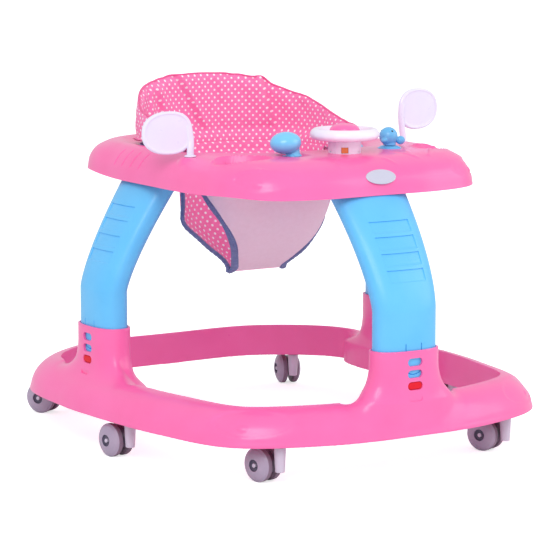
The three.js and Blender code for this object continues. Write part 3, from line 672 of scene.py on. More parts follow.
def bead_frame(path, into):
    """Unit directions at each point of a path: towards into, and across that and the path."""
    along = unit(np.gradient(path, axis=0))
    wide = unit(into - along * np.sum(into * along, axis=1)[:, None])
    return wide, np.cross(along, wide)


def swept(name, path, wide, normal, half_wide, half_thick, sides=16, wobble=1.0):
    """A flattened bead along a path; wide and normal are its section's directions."""
    a = full_turn(sides)
    size = np.broadcast_to(wobble, len(path))
    rows = path[:, None] + wide[:, None] * (half_wide * np.cos(a))[None, :, None]
    rows = rows + normal[:, None] * ((half_thick * np.sin(a))[None, :] * size[:, None])[..., None]
    return loft(name, rows)


def tongue_curve():
    """The curved slot below the tongue, as a thin bead to cut with."""
    x = np.linspace(-1, 1, 32) * (SLITS["half"] + 0.4)
    z = SLITS["curve"] + SLITS["rise"] * (x / SLITS["half"]) ** 2
    path = np.stack([x, np.full_like(x, -LEG["half_y"]), z], 1)
    return swept("tongue_curve", path, *bead_frame(path, np.array([0.0, 1.0, 0.0])), 2.6, 0.75, 12)


for name, place in LEG_PLACES.items():
    upright = leg_body("height_leg_" + name, place)
    bead = tongue_curve()
    move_points(bead, place_leg(points_of(bead), place))
    combine(upright, [bead])
    nodes = ["leg_" + name, "latch_tongue_" + name]
    dress(upright, blue_plastic, "height_frame", nodes, angle=28)

# ---- toy tray ----------------------------------------------------------------------------
# A second pink moulding: a rounded skirt round a wide seat opening, with two snack dishes,
# a long pressed dish at each front corner, finger steps on both shoulders and raised rays.
OPENING = {"y": 75, "radius": 150, "power": 2.8}
TRAY = {"bottom": 379, "crown": 430, "dip": 9.0}
TRAY_HALF = [
    (0, -262), (100, -262), (175, -240), (205, -190), (214, -90),
    (212, 10), (207, 130), (188, 240), (116, 294), (0, 308),
]
TRAY_SKIRT = [(0, 0), (0.8, 5), (4, 21), (14, 36), (30, 45.5), (50, 51)]
TRAY_LIP = [(22, 430), (8, 427.5), (1.5, 424), (0, 418), (0, 405)]
SNACK_DISH = {"x": 159, "y": -159, "half_x": 43, "half_y": 25, "turn": 0.68, "depth": 8.8}
TRAY_LAMP = {
    "x": 179, "y": -234, "z": 406.5, "half": 43, "rise": 13.5, "tangent": (0.72, 0.69),
    "depth": 2.3, "bead_along": 4, "bead_down": 4.5,
}
GROOVES = {"first": 39, "pitch": 25.5, "count": 4, "lean": 9, "depth": 1.7}
KNOB_POCKET = {"x": -82, "y": -166, "radius": 20, "depth": 5.2, "slot": (-88, -160)}
MIRROR_PAD = {"x": 185, "y": -59, "radius": 11, "z": 425.2}
RAYS = [
    ((123, -137), (84, -210)), ((160, -160), (109, -226)), ((-62, -232), (-50, -252)),
    ((-158, -232), (-171, -215)), ((190, -128), (172, -176)), ((-190, -128), (-172, -176)),
    ((30, -228), (44, -250)), ((62, -200), (86, -232)),
]


def opening_radius(angle, offset):
    power = OPENING["power"]
    c, s = np.abs(np.cos(angle)) ** power, np.abs(np.sin(angle)) ** power
    return OPENING["radius"] / (c + s) ** (1 / power) + offset


def opening_point(angle, offset, z):
    r = opening_radius(angle, offset)
    x, y = r * np.cos(angle), OPENING["y"] + r * np.sin(angle)
    return np.stack(np.broadcast_arrays(x, y, z), -1)


def tray_section(rim, count):
    """Offsets from the opening and heights, from the skirt's foot over the crown to the lip."""
    squeeze = min(1.0, 0.55 * rim / 50)
    corners = [(rim - d * squeeze, TRAY["bottom"] + rise) for d, rise in TRAY_SKIRT]
    return spline(corners + TRAY_LIP, count, closed=False)


def grid_normals(grid):
    along = np.roll(grid, -1, 0) - np.roll(grid, 1, 0)
    return unit(np.cross(along, np.gradient(grid, axis=1)))


def press_tray_lamp(grid, facing):
    flat = lamp_press(grid.reshape(-1, 3), facing.reshape(-1, 3), TRAY_LAMP)
    return flat.reshape(grid.shape)


def snack_radius(grid, side):
    """How far each point lies from a snack dish's middle; 1 is the dish's edge."""
    dx, dy = grid[..., 0] - side * SNACK_DISH["x"], grid[..., 1] - SNACK_DISH["y"]
    c, s = math.cos(side * SNACK_DISH["turn"]), math.sin(side * SNACK_DISH["turn"])
    along, across = dx * c + dy * s, dy * c - dx * s
    return np.hypot(along / SNACK_DISH["half_x"], across / SNACK_DISH["half_y"])


# The tray's edge, with more points beside the finger steps and the front dishes.
even_edge = outline(TRAY_HALF, 4000)[0]
edge_x, edge_y = np.abs(even_edge[:, 0]), even_edge[:, 1]
busy = 1 + 3.2 * smooth_step(22, 32, edge_y) * smooth_step(142, 132, edge_y)
busy += 1.6 * smooth_step(-170, -190, edge_y) * smooth_step(115, 135, edge_x)
share = np.concatenate([[0], np.cumsum(busy)])
places = np.linspace(0, share[-1], 861)[:-1]
tray_edge = even_edge[np.interp(places, share, np.arange(4001)).astype(int)]
offset_y = tray_edge[:, 1] - OPENING["y"]
station_angle = np.arctan2(offset_y, tray_edge[:, 0])
station_rim = np.hypot(tray_edge[:, 0], offset_y) - opening_radius(station_angle, 0)
sections = np.array([tray_section(rim, 88) for rim in station_rim])
above_skirt = sections[..., 1] > 400

# The outer skin, its rise at the corners, its fall to the opening, and the seats of the toys.
outer = opening_point(station_angle[:, None], sections[..., 0], sections[..., 1])
x, y, z = outer[..., 0], outer[..., 1], outer[..., 2]
for corner_x, corner_y, rise in ((208, -195, 3.5), (192, 225, 5.0)):
    near = ((np.abs(x) - corner_x) ** 2 + (y - corner_y) ** 2) / 60**2
    z += rise * np.exp(-near) * np.clip(1 - (z - TRAY["bottom"]) / 45, 0, 1)
from_opening = sections[..., 0] / np.minimum(52, 0.62 * station_rim)[:, None]
from_opening = np.clip(from_opening, 0, 1)
z -= TRAY["dip"] * (1 - from_opening) ** 1.3 * above_skirt
near_knob = np.hypot(x - KNOB_POCKET["x"], y - KNOB_POCKET["y"])
pocket_edge = KNOB_POCKET["radius"]
z -= KNOB_POCKET["depth"] * smooth_step(pocket_edge + 5, pocket_edge, near_knob)
near_mirror = np.hypot(np.abs(x) - MIRROR_PAD["x"], y - MIRROR_PAD["y"])
pad_edge = MIRROR_PAD["radius"]
flattened = smooth_step(pad_edge + 9, pad_edge, near_mirror) * above_skirt
z += (MIRROR_PAD["z"] - z) * flattened
outward = grid_normals(outer)
if outward[..., 2].mean() < 0:
    outward = -outward
inner = (outer - outward * WALL)[:, ::8].copy()
inner[:, 0] = outer[:, 0] - outward[:, 0] * WALL * [1, 1, 0]
inner = press_tray_lamp(inner, outward[:, ::8])

# Finger steps, rays, front dishes and snack dishes.
on_shoulder = smooth_step(397, 402, z) * smooth_step(424, 420, z) * (from_opening >= 1)
lift = np.zeros_like(z)
for k in range(GROOVES["count"]):
    middle = GROOVES["first"] + k * GROOVES["pitch"] + GROOVES["lean"] * (420 - z) / 17
    lift -= GROOVES["depth"] * np.exp(-(((y - middle) / 1.25) ** 2)) * on_shoulder
on_top = smooth_step(414, 424, z)
for start, end in RAYS:
    (ax, ay), (bx, by) = start, np.subtract(end, start)
    run = np.clip(((x - ax) * bx + (y - ay) * by) / (bx * bx + by * by), 0, 1)
    away = np.hypot(x - ax - run * bx, y - ay - run * by)
    lift += 1.5 * np.exp(-((away / 2.1) ** 2)) * on_top
shaped = press_tray_lamp(outer + outward * lift[..., None], outward)
floor_z = TRAY["crown"] - SNACK_DISH["depth"]
for side in (-1, 1):
    radius = snack_radius(outer, side)
    dish = smooth_step(1.03, 0.86, radius) * (z > 405)
    shaped[..., 2] = shaped[..., 2] * (1 - dish) + floor_z * dish
    shaped[..., 2] += 0.7 * np.exp(-(((radius - 1.06) / 0.05) ** 2)) * on_top
    dish = smooth_step(1.15, 1.0, snack_radius(inner, side)) * (inner[..., 2] > 402)
    sunk = inner[..., 2] * (1 - dish) + (floor_z - WALL) * dish
    inner[..., 2] = np.minimum(inner[..., 2], sunk)
toy_tray = loft("toy_tray", np.concatenate([shaped, inner[:, ::-1]], 1), closed=True)


def slab(name, lows, highs, turn=0.0, at=(0, 0), bevel=0.0):
    """A rectangular bar, eased at its edges and turned about an upright axis."""
    lows, highs = np.array(lows, float), np.array(highs, float)
    shape = bmesh.new()
    bmesh.ops.create_cube(shape, size=1)
    for v in shape.verts:
        corner = (lows + highs) / 2 + np.array(v.co) * (highs - lows)
        v.co = Vector(set_down(corner, turn, at) * MM)
    if bevel:
        edges, offset = shape.edges[:], bevel * MM
        bmesh.ops.bevel(shape, geom=edges, offset=offset, segments=3, profile=0.6, affect="EDGES")
    mesh = bpy.data.meshes.new(name)
    bmesh.ops.recalc_face_normals(shape, faces=shape.faces)
    shape.to_mesh(mesh)
    shape.free()
    return put_in(name, mesh)


knob_slot = slab("knob_slot", (-8.5, -6.5, 405), (8.5, 6.5, 440), at=KNOB_POCKET["slot"])
combine(toy_tray, [knob_slot])
dress(toy_tray, pink_plastic, "height_frame", ["tray"], angle=40)

# ---- badge plate -------------------------------------------------------------------------
# A pale oval plate with a low rim, moulded on its own and pressed into the tray's front. It is
# blank, with no name on it.
plate_plastic = moulded("plate_plastic", (206, 206, 224), (198, 198, 216), gloss=0.22, coat=0.4)
PLATE = {"x": 6, "half_x": 25, "half_y": 11.6, "y": -256.2, "z": 403.8, "slope": math.atan2(10, 15)}
PLATE_STEPS = [  # share of the oval's size, and height over the tray
    (0.97, 0.2), (1.0, 0.6), (0.985, 1.3), (0.94, 1.75), (0.88, 1.85), (0.84, 1.5),
    (0.5, 1.9), (0.05, 2.0),
]


def oval_plate():
    a = full_turn(72)
    c, s = math.cos(PLATE["slope"]), math.sin(PLATE["slope"])
    rows = []
    for size, height in PLATE_STEPS:
        flat_x, flat_y = PLATE["half_x"] * size * np.cos(a), PLATE["half_y"] * size * np.sin(a)
        y, z = PLATE["y"] + flat_y * s - height * c, PLATE["z"] + flat_y * c + height * s
        rows.append(np.stack([PLATE["x"] + flat_x, y, z], 1))
    return loft("blank_badge", rows)


dress(oval_plate(), plate_plastic, "height_frame", ["badge_plate"], angle=50)

# ---- seat hoop ---------------------------------------------------------------------------
# The stiff sky-blue ring that carries the cloth seat drops into the tray opening and hangs on
# its flange; it shows only as a thin band inside the opening.
HOOP = {"inner": -7, "outer": -2.4, "flange": 3, "bottom": 401, "flange_z": 416.9, "top": 422.6}


def rounded(corners, radius, steps=5, closed=False):
    """A polyline whose corners are eased by radius."""
    corners = [np.array(c, float) for c in corners]
    count = len(corners)
    out = []
    for i, corner in enumerate(corners):
        if not closed and i in (0, count - 1):
            out.append(corner)
            continue
        before, after = corners[i - 1], corners[(i + 1) % count]
        to_before, to_after = before - corner, after - corner
        reach_before = min(radius, 0.45 * np.linalg.norm(to_before))
        reach_after = min(radius, 0.45 * np.linalg.norm(to_after))
        start = corner + to_before / (np.linalg.norm(to_before) + 1e-9) * reach_before
        end = corner + to_after / (np.linalg.norm(to_after) + 1e-9) * reach_after
        for t in np.linspace(0, 1, steps):
            out.append((1 - t) ** 2 * start + 2 * t * (1 - t) * corner + t**2 * end)
    return np.array(out)


hoop_blue = moulded("hoop_blue", (122, 190, 232), (108, 178, 222), gloss=0.4, coat=0.1)
hoop_section = rounded([
    (HOOP["inner"], HOOP["bottom"]), (HOOP["outer"], HOOP["bottom"]),
    (HOOP["outer"], HOOP["flange_z"]), (HOOP["flange"], HOOP["flange_z"]),
    (HOOP["flange"], HOOP["top"]), (HOOP["inner"], HOOP["top"]),
], 1.2, closed=True)
hoop_offset, hoop_z = hoop_section.T
hoop_rows = opening_point(full_turn(260)[:, None], hoop_offset[None], hoop_z[None])
dress(loft("seat_ring", hoop_rows, closed=True), hoop_blue, "height_frame", ["seat_hoop"])

# ---- front panel and rear sling ----------------------------------------------------------
# Two sheets of cloth hang from the hoop and meet at the crotch: a plain mauve panel in front,
# and polka-dot cotton behind, whose hem is tucked up inside the hoop.
DOTS = {"pitch": 11.6, "radius": 1.7}
CLOTH = 1.5
SLING = {
    "bottom": 236, "waist": 26, "gather": 40, "front_reach": 84, "rear_reach": 88, "top": 403.65,
}
CROTCH = {"front_y": 58, "rear_y": 61, "front_half": 43.5, "rear_half": 50, "bow": 30}
THREADS = 1500.0

# A plain weave on a piece's own cloth coordinates, in metres.
woven_cloth, entry, leave = new_group(
    "woven_cloth", "ShaderNodeTree",
    [("Vector", "Vector"), ("Threads per Metre", "Float", THREADS)],
    [("Weave", "Float"), ("Slub", "Float")],
)
split = add_node(woven_cloth, "ShaderNodeSeparateXYZ", {0: entry["Vector"]}).outputs
waves = []
for axis in ("X", "Y"):
    count = maths(woven_cloth, "MULTIPLY", split[axis], entry["Threads per Metre"])
    waves.append(maths(woven_cloth, "SINE", maths(woven_cloth, "MULTIPLY", count, math.pi)))
noise = {"Vector": entry["Vector"], "Scale": 140, "Detail": 4}
feed(woven_cloth, leave, {
    "Weave": maths(woven_cloth, "MULTIPLY_ADD", *waves, 0.5),
    "Slub": add_node(woven_cloth, "ShaderNodeTexNoise", noise).outputs["Fac"],
})


def vector_maths(tree, operation, *values):
    """The results of one Vector Math node over values and outputs."""
    inputs = dict(enumerate(values))
    return add_node(tree, "ShaderNodeVectorMath", inputs, operation=operation).outputs


# White dots in staggered rows: 1 inside a dot, 0 outside.
polka_dots, entry, leave = new_group("polka_dots", "ShaderNodeTree", [
    ("Vector", "Vector"), ("Pitch", "Float", DOTS["pitch"] * MM),
    ("Radius", "Float", DOTS["radius"] * MM),
], [("Dot", "Float")])
pitch = {"X": entry["Pitch"], "Y": entry["Pitch"], "Z": 1}
pitch = add_node(polka_dots, "ShaderNodeCombineXYZ", pitch).outputs[0]
scaled = vector_maths(polka_dots, "DIVIDE", entry["Vector"], pitch)[0]
nearest = []
for shift in (0.0, 0.5):
    moved = vector_maths(polka_dots, "ADD", scaled, (shift, shift, 0))[0]
    part = vector_maths(polka_dots, "FRACTION", moved)[0]
    centred = vector_maths(polka_dots, "SUBTRACT", part, (0.5, 0.5, 0))[0]
    nearest.append(vector_maths(polka_dots, "LENGTH", centred)["Value"])
away = maths(polka_dots, "MULTIPLY", maths(polka_dots, "MINIMUM", *nearest), entry["Pitch"])
edge = {
    "Value": maths(polka_dots, "DIVIDE", away, entry["Radius"]), "From Min": 1.12, "From Max": 0.88,
}
edge = add_node(polka_dots, "ShaderNodeMapRange", edge, interpolation_type="SMOOTHSTEP")
feed(polka_dots, leave, {"Dot": edge.outputs["Result"]})


def cloth_material(name, light, deep, dots=None, threads=THREADS, depth=0.0002):
    material, tree, skin = new_material(name)
    where = add_node(tree, "ShaderNodeAttribute", attribute_name="cloth").outputs["Vector"]
    weave = {"Threads per Metre": threads, "Vector": where}
    weave = add_node(tree, "ShaderNodeGroup", weave, node_tree=woven_cloth).outputs
    colour = two_tone(tree, weave["Slub"], deep, light, 0.25, 0.75)
    if dots:
        dot = add_node(tree, "ShaderNodeGroup", {"Vector": where}, node_tree=polka_dots).outputs[0]
        mix = {"Factor": dot, "A": colour, "B": linear(dots)}
        colour = add_node(tree, "ShaderNodeMix", mix, data_type="RGBA").outputs["Result"]
    bump = {"Height": weave["Weave"], "Distance": depth, "Strength": 0.5}
    rough = {"Value": weave["Slub"], "To Min": 0.78, "To Max": 0.95}
    feed(tree, skin, {
        "Base Color": colour, "Sheen Weight": 0.25, "Sheen Roughness": 0.45,
        "Normal": add_node(tree, "ShaderNodeBump", bump).outputs["Normal"],
        "Roughness": add_node(tree, "ShaderNodeMapRange", rough).outputs["Result"],
    })
    return material


polka_cotton = cloth_material(
    "polka_cotton", (255, 134, 192), (253, 119, 179), dots=(255, 246, 252),
)
mauve_cloth = cloth_material("mauve_cloth", (252, 226, 240), (248, 220, 234), depth=0.00012)


def set_cloth(obj, coordinates):
    """Stores where each point lies on the flat cloth, in metres."""
    layer = obj.data.attributes.new("cloth", "FLOAT_VECTOR", "POINT")
    layer.data.foreach_set("vector", (np.asarray(coordinates) * MM).astype(np.float32).ravel())


def cloth_plan(grid):
    """Lengths along and across a grid of points, centred on its middle column."""
    steps = np.linalg.norm(np.diff(grid, axis=1), axis=2)
    run = np.concatenate([np.zeros((len(grid), 1)), np.cumsum(steps, 1)], 1)
    run -= run[:, run.shape[1] // 2][:, None]
    middle = grid[:, grid.shape[1] // 2]
    drop = np.broadcast_to(run_along(middle)[:, None], run.shape)
    return np.stack([run, drop, np.zeros_like(run)], 2)


def cloth_sheet(name, grid, print_scale=1.0):
    """A closed thin sheet over a grid of points, and its cut area in square metres."""
    rows, cols = grid.shape[:2]
    normal = unit(np.cross(np.gradient(grid, axis=0), np.gradient(grid, axis=1)))
    front, back = grid + normal * CLOTH / 2, grid - normal * CLOTH / 2
    count = rows * cols
    top = lattice(rows, cols, False, False)
    under = [tuple(count + i for i in reversed(q)) for q in top]
    index = np.arange(count).reshape(rows, cols)
    rim = [*index[0].tolist(), *index[1:, -1].tolist()]
    rim += [*index[-1, -2::-1].tolist(), *index[-2:0:-1, 0].tolist()]
    wall = [(a, b, b + count, a + count) for a, b in zip(rim, rim[1:] + rim[:1])]
    points = np.concatenate([front.reshape(-1, 3), back.reshape(-1, 3)])
    obj = new_object(name, points, top + under + wall)
    set_cloth(obj, np.concatenate([cloth_plan(grid).reshape(-1, 3) / print_scale] * 2))
    du, dv = np.diff(grid, axis=1)[:-1], np.diff(grid, axis=0)[:, :-1]
    return obj, float(np.linalg.norm(np.cross(du, dv), axis=2).sum()) * MM**2


HEM_Z = (418.0, 415.0, 411.5, 408.5, 405.5)  # heights of the panel's hem behind the hoop
TUCK = [  # offset from the opening and height, over the hem inside the hoop
    (-8.4, 403.5), (-9.4, 407.5), (-11.6, 411.5), (-14.4, 413.2), (-16.8, 411.8), (-17.4, 408.0),
]


def seat_offset(drop, start=HOOP["inner"]):
    return start + (HOOP["inner"] - SLING["waist"] - start) * smooth_step(0, 0.25, drop)


def panel_grid(rows, cols):
    s = np.linspace(-1, 1, cols)[None, :]
    v = np.linspace(0, 1, rows)[:, None]
    angle = np.radians(-90 + s * SLING["front_reach"])
    top = opening_point(angle, seat_offset(v), SLING["top"] + 0 * v * s)
    flat = OPENING["y"] - opening_radius(-math.pi / 2, seat_offset(v)) + CROTCH["bow"] * s * s
    top_y = top[..., 1] + (flat - top[..., 1]) * smooth_step(0, 0.8, v)
    px = top[..., 0] + (s * CROTCH["front_half"] - top[..., 0]) * v**1.4
    py = top_y + (CROTCH["front_y"] - top_y) * v**3
    pz = SLING["top"] + (SLING["bottom"] + 1 - SLING["top"]) * v + 0 * s
    wave = 1.4 * np.sin(s * 9 + 2.0) * smooth_step(0.02, 0.3, v) * smooth_step(1.0, 0.5, v)
    wave += 0.8 * np.sin(s * 21 + v * 3) * smooth_step(0.5, 0.05, v)
    return np.stack([px, py + wave, pz], -1)


def sling_grid(rows, cols):
    s = np.linspace(-1, 1, cols)[None, :]
    v = np.linspace(0, 1, rows)[:, None]
    drop = np.sin(v * math.pi / 2)
    angle = np.radians(90 - s * SLING["rear_reach"])
    gathered = SLING["gather"] * (1 - s * s) * smooth_step(0, 0.25, drop)
    offset = seat_offset(drop, TUCK[-1][0]) - gathered
    top = opening_point(angle, offset, SLING["top"] + 0 * v * s)
    middle = 1 - np.cos(v * math.pi / 2)
    inwards = middle + (smooth_step(0.5, 1, drop) - middle) * np.abs(s) ** 1.5
    foot = s * CROTCH["rear_half"], CROTCH["rear_y"], SLING["bottom"]
    foot = np.stack(np.broadcast_arrays(*foot), -1)
    grid = top + (foot - top) * inwards[..., None]
    grid[..., 2] = SLING["top"] + (SLING["bottom"] - SLING["top"]) * drop
    grid[..., 1] += 1.6 * np.sin(s * 14) * np.sin(math.pi * v)
    return grid


panel = panel_grid(70, 90)
hem = np.repeat(panel[:1], len(HEM_Z), 0)
hem_angles = np.radians(-90 + np.linspace(-1, 1, 90) * SLING["front_reach"])
for k, z in enumerate(HEM_Z):
    hem[k] = opening_point(hem_angles, HOOP["inner"] - 1.2, z)
front_panel, panel_area = cloth_sheet("front_panel", np.concatenate([hem, panel]))
dress(front_panel, mauve_cloth, "height_frame", ["seat_front_panel"], angle=60)

sling = sling_grid(80, 130)
tuck = np.repeat(sling[:1], len(TUCK), 0)
tuck_angles = np.radians(90 - np.linspace(-1, 1, 130) * SLING["rear_reach"])
for k, (offset, z) in enumerate(TUCK):
    tuck[k] = opening_point(tuck_angles, offset, z)
rear_sling, sling_area = cloth_sheet("rear_sling", np.concatenate([tuck, sling]), 1.14)
dress(rear_sling, polka_cotton, "height_frame", ["seat_sling"], angle=60)

# ---- backrest ----------------------------------------------------------------------------
# One padded band of polka-dot cotton over thin foam, sewn round the rear of the hoop and
# gathered into pleats. It is puffed by a short simulation and then pleated.
BACKREST = {"reach": 117, "low": 405, "shoulder": 421.5, "rim_low": 448.5, "rim_high": 524.5}
PLEATS = [  # place in degrees from the rear at mid height, lean, left side, right side, reach
    (42, -0.12, -9.5, 9.5, 9), (-3.5, -0.2, 5.5, -4.5, 9), (14, -0.05, 1.8, -1.8, 7),
    (-26, -0.14, 4.0, -3.0, 6), (-38, 0.1, 3.0, -3.0, 6), (-50, -0.1, 2.6, -3.0, 6),
    (-63, 0.08, 2.6, -2.6, 6), (-78, -0.1, 2.0, -3.0, 7), (58, 0.1, -1.6, 2.2, 8),
    (80, -0.08, 2.4, -2.0, 9), (-97, 0.05, 2.0, -2.0, 9),
]
PEAK = {"at": 37.0, "wide": 2.4, "rise": 7.0, "behind": -3.4}


def rim_height(swing):
    """Height of the backrest's rim at an angle from the rear, in degrees."""
    share = np.clip(1 - (swing / (BACKREST["reach"] + 0.5)) ** 2, 0, 1)
    return BACKREST["rim_low"] + (BACKREST["rim_high"] - BACKREST["rim_low"]) * share**2


def backrest_section(swing, shrink):
    rim = rim_height(swing) - shrink
    low, shoulder = BACKREST["low"] + shrink, BACKREST["shoulder"]
    face = [
        (-16 + shrink, low), (-16 + shrink, shoulder - 1), (-3.5 + shrink, shoulder + 6),
        (1.2 + shrink, rim - 2.5),
    ]
    back = [
        (10 - shrink, rim - 3), (7.5 - shrink, shoulder + 7), (-8.2 - shrink, shoulder - 2),
        (-8.2 - shrink, low),
    ]
    loop = rounded(face + [(3.2, rim), (8.0, rim)] + back, 3.2, closed=True)
    loop = np.vstack([loop, loop[:1]])
    run = run_along(loop)
    steps = np.linspace(0, run[-1], 61)[:-1]
    return np.stack([np.interp(steps, run, loop[:, 0]), np.interp(steps, run, loop[:, 1])], 1)


def backrest_rows(shrink):
    rows = []
    for swing in np.linspace(-BACKREST["reach"] + 1, BACKREST["reach"] - 1, 170):
        section = backrest_section(swing, shrink)
        rows.append(opening_point(math.radians(90 - swing), section[:, 0], section[:, 1]))
    return np.array(rows)


def puff(obj, voxel, pressure, cap):
    """Fills a closed cloth shape by pressure; no point may move further than cap."""
    regrid(obj, voxel)
    before = points_of(obj)
    filling = obj.modifiers.new("filling", "CLOTH")
    filling.settings.use_pressure = True
    filling.settings.uniform_pressure_force = pressure
    filling.settings.effector_weights.gravity = 0
    filling.settings.quality = 5
    filling.point_cache.frame_end = 20
    for step in range(1, 21):
        scene.frame_set(step)
    settle(obj)
    scene.frame_set(1)
    moved = points_of(obj) - before
    length = np.linalg.norm(moved, axis=1)[:, None] + 1e-9
    move_points(obj, before + moved * np.minimum(1, cap / length))
    finer = obj.modifiers.new("finer", "SUBSURF")
    finer.levels = finer.render_levels = 1
    return settle(obj)


backrest = puff(loft("padded_backrest", backrest_rows(1.0)), 4.4, 4.0, 2.2)
cushion = points_of(backrest)
from_middle = cushion - [0, OPENING["y"], 0]
around = np.degrees(np.arctan2(from_middle[:, 0], from_middle[:, 1]))
height = cushion[:, 2].copy()
radial = unit(from_middle * [1, 1, 0])
below_rim = rim_height(around) - height
fold = np.zeros(len(cushion))
for at, lean, left, right, spread in PLEATS:
    off = around - at - lean * (height - 465)
    over = smooth_step(-1.5, 1.5, off)
    small = smooth_step(3, 24, below_rim) if abs(left) < 5 else 1
    fold += (left * (1 - over) + right * over) * np.exp(-np.abs(off) / spread) * small
fold *= smooth_step(418, 448, height)
ripple = 0.9 * np.sin(around * 0.42 + height * 0.11)
fold += ripple * smooth_step(428, 460, height) * smooth_step(2, 20, below_rim)

# The frill under the seam, which stands on the tray, and the hem's rise at the sides.
reach = np.hypot(*from_middle[:, :2].T) - opening_radius(np.radians(90 - around), 0)
frill = smooth_step(-2, 3, reach) * np.exp(-(((height - 426) / 3.4) ** 2))
frill *= smooth_step(20, 60, np.abs(around))
fold += frill * (6.5 + 2.8 * np.sin(around * 1.3 + 2.0) + 1.4 * np.sin(around * 3.1))
fold -= 2.5 * np.exp(-(((around + 52) / 15) ** 2)) * smooth_step(440, 495, height)
cushion += radial * fold[:, None]
hem_lift = 7.0 * smooth_step(-5, 2, reach) * smooth_step(436, 424, height)
cushion[:, 2] += hem_lift * smooth_step(45, 62, np.abs(around))

# The rim's own line: a peak at the main pleat and a hollow at the left.
rise = PEAK["rise"] * np.exp(-(((around - PEAK["at"]) / PEAK["wide"]) ** 2))
rise += 2.6 * np.exp(-(((around - 29) / 8) ** 2)) - 7.5 * np.exp(-(((around + 62) / 13) ** 2))
rise += PEAK["behind"] * smooth_step(38, 44, around) * smooth_step(66, 50, around)
cushion[:, 2] += rise * smooth_step(45, 8, below_rim)
move_points(backrest, cushion)
table_angle = np.linspace(-180, 180, 1441)
table_path = opening_point(np.radians(90 - table_angle), 0, 0)[:, :2]
print_run = np.interp(around, table_angle, run_along(table_path))
set_cloth(backrest, np.stack([print_run, cushion[:, 2], 0 * height], 1))
dress(backrest, polka_cotton, "height_frame", ["seat_backrest"], angle=75)

# ---- rim piping --------------------------------------------------------------------------
# A plain pink cord of bias-cut cotton sewn into the seam along the backrest's rim.
# A row of topstitches runs just below it.
piping_cotton = cloth_material(
    "piping_cotton", (250, 104, 164), (240, 88, 150), threads=1100.0, depth=0.0003,
)
cushion_tree = surface_tree([backrest])


def rim_point(swing, lift):
    """The highest point of the backrest at a place round it."""
    best = None
    for offset in np.arange(-14.0, 22.0, 0.8):
        start = opening_point(math.radians(90 - swing), offset, 560.0)
        hit = cushion_tree.ray_cast(Vector(start * MM), Vector((0, 0, -1)))[0]
        if hit is not None and (best is None or hit.z > best.z):
            best = hit
    return np.array(best[:]) / MM + [0, 0, lift]


def face_point(swing, z, lift):
    """A point of the backrest's inner face, at a place round it and a height."""
    start = opening_point(math.radians(90 - swing), -60.0, z)
    aim = unit(opening_point(math.radians(90 - swing), 0.0, z) - start)
    hit = cushion_tree.ray_cast(Vector(start * MM), Vector(aim))[0]
    return np.array(hit[:]) / MM - aim * lift


def wrap_cloth(obj, path, sides, girth):
    """Cloth coordinates of a bead: along its path and round its section."""
    v = np.tile(np.linspace(0, girth, sides, endpoint=False), len(path))
    set_cloth(obj, np.stack([np.repeat(run_along(path), sides), v, 0 * v], 1))


rim_swings = np.linspace(-BACKREST["reach"] + 4, BACKREST["reach"] - 4, 150)
rim_line = np.array([rim_point(swing, 0.3) for swing in rim_swings])
for _ in range(2):
    rim_line[1:-1] = (rim_line[:-2] + 2 * rim_line[1:-1] + rim_line[2:]) / 4
rim_path = spline(rim_line, 460, closed=False)
upwards = np.array([0.0, 0.0, 1.0])
piping = swept("backrest_piping", rim_path, *bead_frame(rim_path, upwards), 1.7, 1.9, 12)
wrap_cloth(piping, rim_path, 12, 11)
dress(piping, piping_cotton, "height_frame", (), angle=80)
inner_swings = rim_swings[6:-6]
seam_z = np.interp(inner_swings, rim_swings, rim_line[:, 2]) - 7
topstitch = np.array([face_point(a, z, 0.15) for a, z in zip(inner_swings, seam_z)])
stitch_rows = {"backrest": [topstitch], "tapes": []}

# ---- leg-hole tapes ----------------------------------------------------------------------
# A navy woven tape, folded over and sewn through, binds the edge of each leg hole from the
# hoop's front, under the crotch and up to the hoop's rear.
TAPE = {"width": 11.5, "thick": 6.6, "set_in": 2.2}
navy_tape = cloth_material(
    "navy_tape", (122, 138, 184), (98, 110, 160), threads=900.0, depth=0.0004,
)
for side, column in (("left", 0), ("right", -1)):
    inside = 6 if column == 0 else -7
    edge = np.concatenate([panel[4::3, column], sling[::-3, column][:-1]])
    into = np.concatenate([panel[4::3, inside], sling[::-3, inside][:-1]]) - edge
    knots = spline(np.concatenate([edge, into], 1), 190, closed=False)
    path, into = knots[:, :3], knots[:, 3:]
    wide, across = bead_frame(path, into)
    run = run_along(path)
    pucker = 1 + 0.07 * np.sin(run * 2 * math.pi / 8.5)
    sway = 0.8 * np.sin(run * 2 * math.pi / 61.0)[:, None]
    tape = swept(
        "leg_hole_tape_" + side, path + wide * TAPE["set_in"] + across * sway, wide, across,
        TAPE["width"] / 2, TAPE["thick"] / 2, wobble=pucker,
    )
    wrap_cloth(tape, path, 16, 20)
    dress(tape, navy_tape, "height_frame", ["leg_binding_" + side], angle=80)
    for face in (-1, 1):
        inwards = wide * (TAPE["set_in"] + 0.55 * TAPE["width"] / 2)
        seam = path + inwards + across * (sway + face * 0.84 * TAPE["thick"] / 2)
        stitch_rows["tapes"].append(seam[3:-3])

